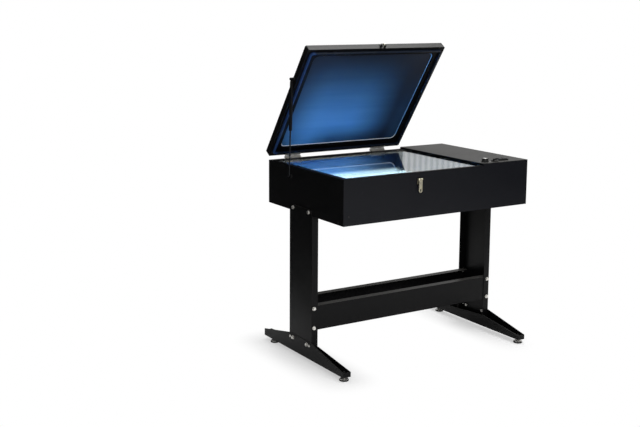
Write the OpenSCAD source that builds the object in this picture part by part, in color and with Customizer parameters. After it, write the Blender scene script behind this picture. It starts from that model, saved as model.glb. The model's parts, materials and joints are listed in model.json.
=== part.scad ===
// Screen printing exposure unit: a lit glass-topped cabinet on a bolted steel stand, with a
// hinged vacuum lid. Millimetres, +Z up, front towards -Y.
// The modules draw from the cabinet's front left corner at floor level. stand_here() then moves
// everything so that the origin is on the floor under the middle of the whole unit.

/* [Cabinet] */
// Height of the glass above the floor
bench_h = 1046; // [900:1:1150]
// Width of the cabinet, left to right
cab_w = 1220; // [1120:1:1400]
// Depth of the cabinet, front to back
cab_d = 762; // [700:1:900]
// Height of the cabinet's front panel
cab_h = 240; // [210:1:300]
// Thickness of the cabinet's steel sheet
sheet = 2; // [1.5:0.1:2.5]
// Width of the raised control deck
deck_w = 318; // [290:1:380]
// Height of the control deck above the glass
deck_rise = 11; // [8:0.5:16]
// Depth of the front panel's folded side returns
panel_return = 60; // [50:1:90]

/* [Glass and rim] */
// Thickness of the exposure glass
glass_t = 10; // [6:0.5:12]
// Width of the steel rim left of the glass
rim_left = 18; // [14:0.5:24]
// Width of the steel rim in front of the glass
rim_front = 15; // [14:0.5:24]
// Width of the steel rim behind the glass
rim_rear = 74; // [66:1:100]
// How far the ledge reaches in under the glass
ledge_reach = 20; // [14:0.5:26]
// Thickness of the ledge
ledge_t = 3; // [2:0.5:4]
// Thickness of the soft strip under the glass
gasket_t = 3; // [2:0.5:5]
// Gap round the glass
glass_gap = 0.5; // [0.3:0.1:0.8]

/* [Lid] */
// Angle that the lid stands open at
lid_open = 55; // [45:1:62]
// Distance of the lid's front wall behind the cabinet's front
lid_front_in = 18; // [14:1:40]
// Height of the lid's folded side walls
lid_h = 38; // [34:1:50]
// Gap between the lid and the control deck
lid_side_gap = 10; // [5:0.5:16]
// Distance from the hinge pin forward to the lid's rear edge
lid_back = 12; // [10:0.5:16]
// Corner radius of the lid's outer skin
lid_corner_r = 8; // [5:0.5:14]
// Width of the lid frame's flat face at the sides
frame_side = 55; // [50:1:70]
// Width of the lid frame's flat face at the front
frame_front = 45; // [45:1:70]
// Width of the lid frame's flat face at the hinge side
frame_rear = 58; // [50:1:70]
// Corner radius of the opening in the lid frame
opening_r = 30; // [20:1:45]
// Depth from the lid frame's face to the blanket
recess = 12; // [8:0.5:14]
// Thickness of the rubber blanket
blanket_t = 3; // [2:0.5:4]
// Width of the folded seat that carries the blanket's edge
blanket_seat = 20; // [14:0.5:22]
// Height of the bars that clamp the blanket
retainer_h = 5; // [3:0.5:8]
// Distance from the lid's edge in to the middle of the edge seal
seal_inset = 22; // [20:0.5:24]
// Width of the edge seal
seal_w = 12; // [8:0.5:14]
// Clearance between the closed seal and the glass
seal_gap = 0.4; // [0.3:0.1:1]

/* [Hinges] */
// Length of each hinge along its pin
hinge_w = 100; // [80:1:140]
// Distance between the middles of the two hinges
hinge_spread = 580; // [480:1:640]
// Outer radius of the hinge knuckles
knuckle_r = 6.5; // [6:0.1:8]
// Thickness of the hinge leaves
leaf_t = 3; // [2:0.5:4]
// Length of the hinge leaves from the pin
leaf_len = 26; // [22:0.5:27]
// Radius of the hinge pins
hinge_pin_r = 3; // [2.5:0.1:3.5]
// Distance from the cabinet's back to the hinge pin
pin_out = 6; // [6:0.5:8]
// Gap between hinge knuckles
knuckle_gap = 0.3; // [0.2:0.1:0.6]

/* [Gas strut] */
// Distance of the strut's axis from the cabinet's left side
strut_out = 15; // [14:0.5:20]
// Outer radius of the strut's tube
tube_r = 9; // [8:0.5:11]
// Inner radius of the strut's tube
tube_bore_r = 8; // [6.5:0.1:8]
// Radius of the strut's rod
strut_rod_r = 4; // [3:0.1:5]
// Radius of the eyes at both ends of the strut
strut_eye_r = 8; // [7:0.5:9]
// Radius of the studs that carry the strut
strut_stud_r = 4; // [3:0.1:5]
// Distance of the lower stud behind the cabinet's front
stud_low_y = 511; // [495:1:530]
// Distance of the lower stud below the glass level
stud_low_drop = 57; // [50:1:70]
// Distance of the lid stud from the hinge pin, along the lid
stud_lid_u = 538; // [520:1:545]
// Height of the lid stud above the lid frame's face
stud_lid_n = 27.5; // [24:0.5:29]
// Length kept for the rod's eye below the closed tube
rod_end_room = 23; // [20:0.5:28]
// Length of the rod's guide at the tube's mouth
guide_l = 12; // [8:0.5:16]
// Length of the piston on the rod
piston_l = 8; // [6:0.5:9]

/* [Latch] */
// Distance of the latch from the cabinet's left side
latch_x = 470; // [300:1:600]
// Height of the latch pin below the glass level
latch_drop = 37; // [34:0.5:42]
// Width of the latch plate and knuckle
latch_w = 28; // [26:1:34]
// Width of the hanging strap
strap_w = 22; // [20:0.5:24]
// Length of the strap below the latch pin
strap_l = 70; // [68:0.5:74]
// Thickness of the strap
strap_t = 2.5; // [2:0.1:3]
// Outer radius of the latch knuckle
latch_knuckle_r = 5; // [4.5:0.1:5.5]
// Radius of the latch pin
latch_pin_r = 2.5; // [2:0.1:3]
// Distance of the latch pin in front of the panel
latch_pin_out = 7.5; // [7.5:0.1:8.5]
// Thickness of the latch's base plate
latch_base_t = 2; // [1.5:0.1:2.5]
// Width of the slot in the strap
slot_w = 7; // [6.5:0.1:8]
// Length of the slot in the strap
slot_l = 16; // [15.5:0.5:17]
// Radius of the turn staple's shank
staple_r = 3; // [2.5:0.1:3]
// Height of the turn staple above the closed lid's lower edge
staple_n = 7; // [6:0.5:9]

/* [Stand] */
// Width of the columns, front to back
column_w = 232; // [200:1:280]
// Depth of the columns' channel
column_depth = 38; // [32:1:50]
// Thickness of the stand's steel
steel = 3; // [2.5:0.1:4]
// Distance of the columns' middle behind the cabinet's middle
column_back = 28; // [0:1:50]
// Height of the tab that laps the cabinet's side
tab_h = 33; // [28:1:45]
// Height of the tab's upright shoulders
tab_shoulder = 9; // [6:1:20]
// Slant of the tab's upper corners
tab_slant = 30; // [20:1:35]
// Height of the stretchers' lower edge above the floor
stretcher_z = 187; // [140:1:260]
// Height of the stretchers
stretcher_h = 133; // [100:1:180]
// Depth of the stretchers' folded returns
stretcher_return = 42; // [30:1:60]
// Length of the feet, front to back
foot_l = 826; // [780:1:960]
// Distance that the feet reach in front of the cabinet
foot_front = 22; // [0:1:60]
// Inner width of the feet
foot_inner_w = 40; // [39:0.5:52]
// Height of the feet's rear tips
foot_tip_h = 38; // [34:1:50]
// Height of the feet's front tips
foot_front_tip_h = 26; // [24:1:50]
// Height of the feet's middle
foot_hub_h = 94; // [85:1:130]
// Height of the feet's inner plate at the rear tip
foot_lip_h = 30; // [20:1:34]
// Height of the feet's inner plate at the columns' front
foot_inner_h = 68; // [40:1:80]
// Gap under the feet
foot_clear = 24; // [22:0.5:40]
// Distance of the bolts from the stretchers' upper and lower edges
stretcher_bolt_edge = 13; // [13:0.5:20]
// Distance of the stretcher bolts in from the columns' outer faces
stretcher_bolt_in = 14; // [14:0.5:16]
// Height of the tab bolts above the cabinet's underside
tab_bolt_z = 17.5; // [14:0.5:20]
// Distance between the tab bolts
tab_bolt_span = 160; // [120:1:166]
// Distance of the foot bolts below the feet's middle top
foot_bolt_drop = 18; // [12:0.5:26]
// Distance between the large foot bolts
foot_bolt_span = 145; // [110:1:150]
// Distance between the small foot screws
foot_screw_span = 200; // [186:1:214]

/* [Levelling feet] */
// Radius of the rubber pads
pad_r = 25; // [20:0.5:27]
// Height of the rubber pads
pad_h = 9; // [7:0.5:12]
// Radius of the steel disc on the pads
disc_r = 22; // [16:0.5:22]
// Thickness of the steel disc
disc_h = 3; // [2:0.5:4]
// Height of the hexagon on the stud
hex_h = 5; // [4:0.5:6]
// Radius across the corners of the hexagon
hex_r = 9; // [7:0.5:11]
// Radius of the levelling stud
level_stud_r = 5; // [4:0.1:6]
// Length of the levelling stud above the disc
level_stud_l = 38; // [36:1:60]
// Distance of the front pads from the feet's front tips
pad_front_in = 28; // [26:1:60]
// Distance of the rear pads from the feet's rear tips
pad_rear_in = 80; // [26:1:120]

/* [Bolts] */
// Radius of the large bolts
bolt_r = 5; // [4:0.1:5]
// Radius across the corners of the large bolt heads
bolt_head_r = 9; // [8:0.1:9.5]
// Height of the large bolt heads
bolt_head_h = 6.4; // [5:0.1:7]
// Height of the large nuts
nut_h = 8; // [6:0.1:8]
// Radius of the washers
washer_r = 10.5; // [9.6:0.1:10.5]
// Thickness of the washers
washer_h = 2; // [1.5:0.1:2.5]
// Radius of the small foot screws
small_screw_r = 4; // [3:0.1:4]
// Radius of the small foot screws' heads
small_head_r = 7; // [6:0.1:7]
// Height of the small foot screws' heads
small_head_h = 4.4; // [3.5:0.1:5]
// Radius of the cabinet screws
cab_screw_r = 2; // [1.5:0.1:2.5]
// Radius of the cabinet screws' heads
cab_head_r = 4; // [3.5:0.1:5]
// Height of the cabinet screws' heads
cab_head_h = 2; // [1.5:0.1:2.5]

/* [Lamps] */
// Number of ultraviolet tubes
lamp_count = 10; // [6:1:11]
// Radius of the tubes
lamp_r = 8; // [6:0.5:9]
// Depth of the tubes' axes below the glass
lamp_drop = 130; // [115:1:140]
// Depth of the reflector tray's floor below the tubes' axes
tray_drop = 45; // [35:1:48]
// Gap between the cabinet's walls and the reflector tray
tray_gap = 8; // [7:0.5:12]
// Thickness of the reflector tray
tray_t = 1.5; // [1:0.1:2]
// Length of the metal end caps
cap_l = 12; // [10:0.5:16]
// Radius of the contact pins
contact_r = 1.2; // [1:0.1:1.5]
// Length of the contact pins
contact_l = 7; // [5:0.5:8]
// Distance between a tube's two contact pins
contact_span = 5; // [4.5:0.1:6]
// Thickness of the lamp holders
holder_t = 18; // [14:0.5:22]
// Width of the lamp holders
holder_w = 22; // [19:0.5:26]
// Number of ballasts
ballast_count = 5; // [3:1:6]
// Length of the ballasts
ballast_l = 360; // [280:1:400]
// Width of the ballasts
ballast_w = 42; // [36:1:60]
// Height of the ballasts
ballast_h = 28; // [20:1:32]

/* [Controls] */
// Distance of the timer knob from the deck's left edge
timer_x = 58; // [50:1:64]
// Distance of the timer knob behind the cabinet's front
timer_y = 56; // [52:1:90]
// Distance of the pointer knob from the deck's left edge
selector_x = 120; // [116:1:124]
// Distance of the pointer knob behind the cabinet's front
selector_y = 46; // [44:1:80]
// Distance of the switches' middle from the deck's left edge
switch_x = 183; // [180:1:205]
// Distance of the switches' middle behind the cabinet's front
switch_y = 60; // [50:1:90]
// Radius of both knobs
knob_r = 21; // [18:0.5:22]
// Height of the timer knob
timer_knob_h = 18; // [14:0.5:24]
// Height of the pointer knob's disc
selector_disc_h = 5; // [4:0.5:7]
// Height of the pointer knob's bar above its disc
selector_bar_h = 10; // [6:0.5:14]
// Width of the pointer knob's bar
selector_bar_w = 9; // [7:0.5:12]
// Gap between the knobs and what is under them
knob_lift = 0.5; // [0.3:0.1:1]
// Radius of the knobs' shafts
shaft_r = 3; // [2.5:0.1:3.5]
// Outer radius of the threaded bushes that the shafts turn in
bush_r = 5; // [4.5:0.1:6]
// Height of the bush nuts on the deck
bush_nut_h = 2.5; // [2:0.1:3.5]
// Width of the timer's and the selector's bodies
body_w = 52; // [44:1:56]
// Height of the timer's body
timer_body_h = 38; // [30:1:46]
// Height of the selector's body
selector_body_h = 26; // [20:1:34]
// Length of the switch bezel
bezel_l = 64; // [60:1:70]
// Width of the switch bezel
bezel_w = 34; // [32:1:40]
// Height of the switch bezel above the deck
bezel_h = 7; // [6:0.5:9]
// Radius of the rockers' round undersides
rocker_r = 12.5; // [11.5:0.1:13]
// Length of each rocker along its pivot
rocker_l = 22; // [20:0.5:24]
// Angle that a rocker tips through
rocker_travel = 14; // [10:0.5:18]
// Gap round each rocker
rocker_gap = 0.4; // [0.3:0.1:0.6]
// Radius of the rockers' pivot pins
rocker_pin_r = 1.5; // [1:0.1:2]

/* [Cooling and supply] */
// Distance of the fan from the cabinet's left side
fan_x = 300; // [200:1:600]
// Width of the fan's square housing
fan_w = 120; // [90:1:124]
// Depth of the fan's housing
fan_t = 38; // [30:1:46]
// Radius of the fan's air hole
fan_hole_r = 56; // [40:0.5:57]
// Radius of the fan's hub
fan_hub_r = 20; // [16:0.5:24]
// Number of blades on the fan
fan_blades = 7; // [5:1:9]
// Number of rings in the fan's grille
grille_rings = 5; // [4:1:7]
// Radius of the grille's wires
wire_r = 1; // [0.8:0.1:1.3]
// Distance of the power inlet from the cabinet's right side
inlet_in = 70; // [50:1:110]
// Height of the power inlet above the cabinet's underside
inlet_up = 45; // [40:1:80]

/* [Vacuum] */
// Radius of the pump motor's casing
pump_r = 46; // [36:0.5:52]
// Length of the pump motor's casing
pump_l = 150; // [110:1:170]
// Distance of the pump motor's axis from the divider
pump_in = 168; // [150:1:190]
// Radius of the vacuum hose
hose_r = 6; // [5:0.5:7]
// Bend radius of the vacuum hose
hose_bend = 32; // [28:1:40]
// Radius of the hole in the vacuum port
port_r = 4; // [3:0.1:4.5]

/* [Hidden] */
$fn = 48;
// Running clearance between a shaft and its hole
run = 0.05;
// A cut passes through its wall by this much
thru = 1;
// Shapes of one piece overlap by this much
join = 1;
// Gap between sheets that are welded or screwed together
weld_gap = 0.1;
// Levels of the cabinet
cab_z = bench_h - cab_h;
deck_x = cab_w - deck_w;
deck_z = bench_h + deck_rise;
rim_z = bench_h - sheet;
div_x = deck_x - sheet;
ledge_z = bench_h - glass_t - gasket_t;
ledge_low_z = ledge_z - ledge_t;
ledge_left = rim_left + ledge_reach;
ledge_front = rim_front + ledge_reach;
ledge_rear = cab_d - rim_rear - ledge_reach;
ledge_right = deck_x - ledge_reach;
ledge_back = cab_d - rim_rear + ledge_reach;
gasket_inset = 4;
gasket_over = 2;
divider_foot = 20;
panel_flange_x = 50;
side_screw_y = 46;
side_screw_up = 14;
front_screw_x = 31;
front_screw_up = 47;
screw_end = 2;
// Levels of the lamps
lamp_z = bench_h - lamp_drop;
tray_z = lamp_z - tray_drop;
tray_in = sheet + tray_gap;
rail_t = 2;
rail_play = 0.5;
rail_in = 8;
holder_play = 1;
holder_z = tray_z + tray_t + rail_t;
tray_x1 = div_x - 2.5;
tray_y1 = ledge_back - 4;
lamp_x0 = tray_in + tray_t + holder_play + holder_t;
lamp_x1 = tray_x1 - tray_t - holder_play - holder_t;
lamp_edge = 46;
lamp_y0 = tray_in + lamp_edge;
lamp_y1 = tray_y1 - lamp_edge;
ballast_tab = 14;
ballast_tab_in = 12;
ballast_tab_t = 2;
lamp_pitch = (lamp_y1 - lamp_y0) / (lamp_count - 1);
// Hinge pin and lid
pin_y = cab_d + pin_out;
pin_z = bench_h + knuckle_r;
lid_w = deck_x - lid_side_gap;
lid_lift = knuckle_r;
lid_far = pin_y - lid_front_in;
hinge_mid = lid_w / 2;
hinge_x = [hinge_mid - hinge_spread / 2, hinge_mid + hinge_spread / 2];
seal_h = 2 * knuckle_r - seal_gap;
seal_base_h = seal_h * 0.55;
seal_lip_w = seal_w * 0.6;
seal_mid_r = 14;
lid_roof = 2;
blanket_play = 2;
pin_end = 2;
// A point of the lid at distance u from the pin and height n above it, lid turned up by a degrees
function lid_point(u, n, a) = [pin_y - u * cos(a) + n * sin(a), pin_z + u * sin(a) + n * cos(a)];
// Gas strut
strut_low = [stud_low_y, bench_h - stud_low_drop];
stud_lid_h = lid_lift + stud_lid_n;
strut_high = lid_point(stud_lid_u, stud_lid_h, lid_open);
strut_closed = norm(lid_point(stud_lid_u, stud_lid_h, 0) - strut_low);
strut_len = norm(strut_high - strut_low);
strut_lean = atan2(strut_low[0] - strut_high[0], strut_high[1] - strut_low[1]);
tube_mouth = strut_len - (strut_closed - rod_end_room);
tube_cap = 4;
tube_top = strut_len - strut_eye_r - tube_cap;
rod_room = 8;
rod_tip = tube_mouth + guide_l + piston_l + rod_room;
neck_r = strut_rod_r + 2;
neck_l = 6;
low_eye_half = 7;
strut_gap = 0.5;
stud_flange_h = strut_out - tube_r - strut_gap;
stud_flange_r = 9;
stud_nut_r = 7;
stud_nut_h = 5;
stud_end = 1;
// Stand
mid_y = cab_d / 2;
column_mid = mid_y + column_back;
column_y0 = column_mid - column_w / 2;
column_y1 = column_mid + column_w / 2;
foot_out = 2 * steel;
foot_y0 = -foot_front;
foot_y1 = foot_l - foot_front;
pad_y0 = foot_y0 + pad_front_in;
pad_y1 = foot_y1 - pad_rear_in;
pad_x = -foot_out + steel + foot_inner_w / 2;
foot_top = foot_clear + foot_hub_h;
foot_floor = foot_clear + steel;
foot_lip_z = foot_clear + foot_lip_h;
foot_front_tip_z = foot_clear + foot_front_tip_h;
foot_bolt_z = foot_top - foot_bolt_drop;
stretcher_end_gap = 0.5;
thread_end = 1;
weld_nut_r = 10;
weld_nut_h = 8;
stretcher_top = stretcher_z + stretcher_h;
// Widest reach of the unit to the left and to the right of the cabinet, and the unit's middle
reach_left = strut_out + tube_r;
reach_right = foot_out + washer_h + bolt_head_h;
mid_x = (cab_w + reach_right - reach_left) / 2;
centre_y = (foot_y0 + foot_y1) / 2;
// Latch
latch_pin_z = bench_h - latch_drop;
latch_pin_y = -latch_pin_out;
latch_slot = pin_z + lid_lift + staple_n - latch_pin_z;
latch_neck_w = latch_w / 2;
latch_side_gap = 0.2;
latch_screw_x = 9;
latch_screw_z = latch_pin_z - 18;
latch_screw_h = 1.5;
latch_plate_h = 30;
strap_shoulder = latch_knuckle_r + 0.6;
dimple_r = 5;
dimple_h = 1.5;
dimple_z = 21.5;
strap_up_y = latch_pin_y + latch_knuckle_r;
lid_front_y = pin_y - lid_far;
catch_gap = 0.5;
catch_t = 2;
catch_h = 16;
catch_out = lid_front_y - (strap_up_y + catch_gap);
catch_rise = 1;
catch_rivet_x = 8;
catch_rivet_z = 26;
catch_rivet_r = 3.5;
catch_rivet_h = 1.2;
catch_top_gap = 4;
staple_head_t = 3.5;
staple_head_gap = 0.7;
staple_head_r = staple_r - 0.1;
staple_washer_r = 6;
staple_washer_t = 2;
staple_play = 0.3;
staple_half = slot_l / 2 - 1.5;
// Controls
timer_at = [deck_x + timer_x, timer_y];
selector_at = [deck_x + selector_x, selector_y];
switch_at = [deck_x + switch_x, switch_y];
bush_nut_r = bush_r + 3;
nut_room_r = bush_nut_r + 1;
nut_room = bush_nut_h + 1;
body_floor = 6;
shaft_gap = 2;
knob_base_h = 3;
knob_step = 3;
knob_flutes = 24;
flute_r = 1.4;
flute_in = 2.2;
pointer_turn = 25;
bezel_wall = 4;
bezel_body_l = bezel_l - 2 * bezel_wall;
bezel_body_w = bezel_w - 2;
bezel_depth = 22;
rocker_z = deck_z + bezel_h - 2;
rocker_x = [switch_at[0] - bezel_body_l / 4, switch_at[0] + bezel_body_l / 4];
rocker_top = 4;
rocker_pin_l = 1.5;
// Power inlet, fan and vents
inlet_w = 27;
inlet_h = 20;
inlet_wall = 2;
inlet_depth = 26;
inlet_floor = 6;
inlet_plate_w = 48;
inlet_plate_h = 28;
inlet_plate_t = 3;
inlet_blade = [2, 14, 4];
inlet_pins = [[-7, -3], [7, -3], [0, 4]];
inlet_x = cab_w - inlet_in;
inlet_z = cab_z + inlet_up;
terminal_ways = 6;
terminal_pitch = 12;
terminal_w = 24;
terminal_h = 14;
terminal_y = 140;
terminal_screw_r = 4;
fan_z = cab_z + cab_h / 2;
fan_spoke = 3;
fan_bearing_r = 6;
fan_shaft_r = 2;
fan_play = 0.5;
fan_end_gap = 5;
fan_bearing_gap = 8;
blade_turn = 38;
blade_w = 30;
blade_t = 2;
grille_gap = 3;
grille_bar_r = 1.5;
grille_reach = fan_w * 0.62;
grille_foot_r = 5;
vent_count = 8;
vent_w = 90;
vent_h = 5;
vent_pitch = 14;
vent_up = 100;
vent_low = cab_z + vent_up;
// Vacuum port
port_in = 50;
port_x = div_x - port_in;
port_y = ledge_back + 12;
port_body_r = 9;
port_neck_r = 6;
port_bore_r = port_r - 1.5;
port_low_z = bench_h - 28;
barb_l = 12;
barb_r = 4;
pump_head_w = 56;
pump_head_up = 34;
pump_head_down = 30;
pump_head_gap = 6;
pump_x = div_x + pump_in;
pump_head_in = 100;
pump_head_x0 = div_x + pump_head_in;
pump_foot_h = 18;
pump_foot_r = 9;
pump_foot_x = 38;
pump_foot_y = 14;
pump_base_t = 6;
pump_base_half = 50;
pump_z = cab_z + sheet + pump_foot_h + pump_base_t + pump_r;
hose_z = pump_z + 14;
hose_hole_gap = 1.5;
// Colours
black_paint = [0.07, 0.07, 0.08];
zinc = [0.72, 0.71, 0.68];
rubber = [0.04, 0.04, 0.04];
white_paint = [0.92, 0.93, 0.95];
plastic = [0.1, 0.1, 0.1];

module stand_here() {
    translate([-mid_x, -centre_y, 0]) children();
}

// A box from its lowest and highest value along each axis
module block(x, y, z) {
    translate([x[0], y[0], z[0]]) cube([x[1] - x[0], y[1] - y[0], z[1] - z[0]]);
}

// Round bars along each axis: span, the two other coordinates and radius
module bar_x(x, y, z, r) {
    translate([x[0], y, z]) rotate([0, 90, 0]) cylinder(h = x[1] - x[0], r = r);
}
module bar_y(y, x, z, r) {
    translate([x, y[0], z]) rotate([-90, 0, 0]) cylinder(h = y[1] - y[0], r = r);
}
module bar_z(z, x, y, r) {
    translate([x, y, z[0]]) cylinder(h = z[1] - z[0], r = r);
}

// The same thing on the cabinet's right side
module on_right() {
    translate([cab_w, 0, 0]) mirror([1, 0, 0]) children();
}
module on_both_sides() {
    children();
    on_right() children();
}

// The same thing mirrored to the columns' back flange
module to_rear_flange() {
    translate([0, 2 * column_mid, 0]) mirror([0, 1, 0]) children();
}
module at_both_flanges() {
    children();
    to_rear_flange() children();
}

// Lid coordinates: X as the cabinet's, Y back from the hinge pin, Z up from it, lid closed
module on_lid() {
    translate([0, pin_y, pin_z]) rotate([-lid_open, 0, 0]) children();
}

// Strut coordinates: Z along the strut from its lower stud, X outwards to the right
module on_strut() {
    translate([-strut_out, strut_low[0], strut_low[1]]) rotate([strut_lean, 0, 0]) children();
}

// A rectangle with round corners
module round_rect(x, y, r) {
    translate([x[0] + r, y[0]]) square([x[1] - x[0] - 2 * r, y[1] - y[0]]);
    translate([x[0], y[0] + r]) square([x[1] - x[0], y[1] - y[0] - 2 * r]);
    for (cx = [x[0] + r, x[1] - r], cy = [y[0] + r, y[1] - r]) translate([cx, cy]) circle(r = r);
}

// A flat ring between two round-cornered rectangles, each given as inset from the lid's outline
module lid_ring(outer, inner, outer_r, inner_r) {
    difference() {
        round_rect([outer, lid_w - outer], [-lid_far + outer, -lid_back - outer], outer_r);
        round_rect([inner, lid_w - inner], [-lid_far + inner, -lid_back - inner], inner_r);
    }
}

// The opening in the lid frame, widened by grow on every side
module lid_opening(grow) {
    round_rect(
        [frame_side - grow, lid_w - frame_side + grow],
        [-lid_far + frame_front - grow, -lid_back - frame_rear + grow],
        opening_r + grow
    );
}

// Stand

module column_web() {
    tab_y0 = column_y0 + tab_slant;
    tab_y1 = column_y1 - tab_slant;
    shoulder_z = cab_z + tab_shoulder;
    rotate([90, 0, 90]) linear_extrude(steel) polygon([
        [column_y0, foot_floor], [column_y1, foot_floor], [column_y1, shoulder_z],
        [tab_y1, cab_z + tab_h], [tab_y0, cab_z + tab_h], [column_y0, shoulder_z]
    ]);
}

module foot_hole_places() {
    for (s = [-1, 1]) translate([0, column_mid + s * foot_bolt_span / 2, foot_bolt_z]) children();
}
module screw_hole_places() {
    for (s = [-1, 1]) translate([0, column_mid + s * foot_screw_span / 2, foot_bolt_z]) children();
}
module tab_hole_places() {
    for (s = [-1, 1]) translate([0, column_mid + s * tab_bolt_span / 2, cab_z + tab_bolt_z]) children();
}
module stretcher_hole_places() {
    for (z = [stretcher_z + stretcher_bolt_edge, stretcher_top - stretcher_bolt_edge]) {
        translate([stretcher_bolt_in - steel, 0, z]) children();
    }
}

module column() {
    difference() {
        union() {
            translate([-steel, 0, 0]) column_web();
            at_both_flanges() {
                block([-steel, column_depth - steel], [column_y0, column_y0 + steel], [foot_floor, cab_z]);
            }
        }
        foot_hole_places() bar_x([-steel - thru, thru], 0, 0, bolt_r);
        screw_hole_places() bar_x([-steel - thru, thru], 0, 0, small_screw_r);
        tab_hole_places() bar_x([-steel - thru, thru], 0, 0, bolt_r);
        at_both_flanges() stretcher_hole_places() {
            bar_y([column_y0 - thru, column_y0 + steel + thru], 0, 0, bolt_r);
        }
    }
}
module left_column() {
    color(black_paint) stand_here() column();
}
module right_column() {
    color(black_paint) stand_here() on_right() column();
}

module stretcher() {
    x = [stretcher_end_gap, cab_w - stretcher_end_gap];
    y0 = column_y0 + steel;
    difference() {
        union() {
            block(x, [y0, y0 + steel], [stretcher_z, stretcher_top]);
            block(x, [y0, y0 + stretcher_return], [stretcher_top - steel, stretcher_top]);
            block(x, [y0, y0 + stretcher_return], [stretcher_z, stretcher_z + steel]);
        }
        on_both_sides() stretcher_hole_places() bar_y([y0 - thru, y0 + steel + thru], 0, 0, bolt_r);
    }
}
module front_stretcher() {
    color(black_paint) stand_here() stretcher();
}
module rear_stretcher() {
    color(black_paint) stand_here() to_rear_flange() stretcher();
}

module foot_side() {
    rotate([90, 0, 90]) linear_extrude(steel) polygon([
        [foot_y0, foot_clear], [foot_y1, foot_clear], [foot_y1, foot_clear + foot_tip_h],
        [column_y1, foot_top], [column_y0, foot_top], [foot_y0, foot_front_tip_z]
    ]);
}

module foot_inner_side() {
    rotate([90, 0, 90]) linear_extrude(steel) polygon([
        [foot_y0, foot_clear], [foot_y1, foot_clear], [foot_y1, foot_lip_z],
        [column_y0, foot_clear + foot_inner_h], [foot_y0, foot_front_tip_z]
    ]);
}

module foot() {
    x0 = -foot_out;
    x1 = x0 + steel + foot_inner_w + steel;
    difference() {
        union() {
            translate([x0, 0, 0]) foot_side();
            block([x0, x1], [foot_y0, foot_y1], [foot_clear, foot_floor]);
            translate([x1 - steel, 0, 0]) foot_inner_side();
            block([x0, x1], [foot_y0, foot_y0 + steel], [foot_clear, foot_front_tip_z]);
            block([x0, x1], [foot_y1 - steel, foot_y1], [foot_clear, foot_lip_z]);
            for (y = [pad_y0, pad_y1]) bar_z([foot_clear, foot_floor + weld_nut_h], pad_x, y, weld_nut_r);
        }
        foot_hole_places() bar_x([x0 - thru, x0 + steel + thru / 2], 0, 0, bolt_r);
        screw_hole_places() bar_x([x0 - thru, x0 + steel + thru / 2], 0, 0, small_screw_r);
        for (y = [pad_y0, pad_y1]) {
            bar_z([0, foot_floor + weld_nut_h + thru], pad_x, y, level_stud_r + run);
        }
    }
}
module left_foot() {
    color(black_paint) stand_here() foot();
}
module right_foot() {
    color(black_paint) stand_here() on_right() foot();
}

// A bolt along X with its head on the left: washer, hexagon and shank up to x
module bolt_x(head_x, x) {
    bar_x([head_x - washer_h, head_x], 0, 0, washer_r);
    translate([head_x - washer_h - bolt_head_h, 0, 0]) rotate([0, 90, 0]) {
        cylinder(h = bolt_head_h, r = bolt_head_r, $fn = 6);
    }
    bar_x([head_x - washer_h, x], 0, 0, bolt_r);
}

// A hexagon nut on a bolt along X, from x to the right
module nut_x(x) {
    difference() {
        translate([x, 0, 0]) rotate([0, 90, 0]) cylinder(h = nut_h, r = bolt_head_r, $fn = 6);
        bar_x([x - thru, x + nut_h + thru], 0, 0, bolt_r + run);
    }
}

module foot_bolts() {
    color(zinc) stand_here() on_both_sides() foot_hole_places() bolt_x(-foot_out, nut_h + thread_end);
}

module foot_screws() {
    color(zinc) stand_here() on_both_sides() screw_hole_places() {
        bar_x([-foot_out - small_head_h, -foot_out], 0, 0, small_head_r);
        bar_x([-foot_out, nut_h], 0, 0, small_screw_r);
    }
}

module frame_bolts() {
    color(zinc) stand_here() on_both_sides() {
        tab_hole_places() bolt_x(-steel, sheet + nut_h + thread_end);
        at_both_flanges() stretcher_hole_places() {
            translate([0, column_y0, 0]) rotate([0, 0, 90]) bolt_x(0, 2 * steel + nut_h + thread_end);
        }
    }
}

module frame_nuts() {
    color(zinc) stand_here() on_both_sides() {
        foot_hole_places() nut_x(0);
        tab_hole_places() nut_x(sheet);
        at_both_flanges() stretcher_hole_places() {
            translate([0, column_y0, 0]) rotate([0, 0, 90]) nut_x(2 * steel);
        }
    }
}

// A rubber pad with a steel disc, a hexagon and a threaded stud
module levelling_foot(y) {
    x = pad_x;
    color(rubber) bar_z([0, pad_h], x, y, pad_r);
    color(zinc) {
        bar_z([pad_h, pad_h + disc_h], x, y, disc_r);
        translate([x, y, pad_h + disc_h]) cylinder(h = hex_h, r = hex_r, $fn = 6);
        bar_z([pad_h + disc_h, pad_h + disc_h + level_stud_l], x, y, level_stud_r);
    }
}
module levelling_foot_front_left() {
    stand_here() levelling_foot(pad_y0);
}
module levelling_foot_rear_left() {
    stand_here() levelling_foot(pad_y1);
}
module levelling_foot_front_right() {
    stand_here() on_right() levelling_foot(pad_y0);
}
module levelling_foot_rear_right() {
    stand_here() on_right() levelling_foot(pad_y1);
}

// Cabinet

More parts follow.
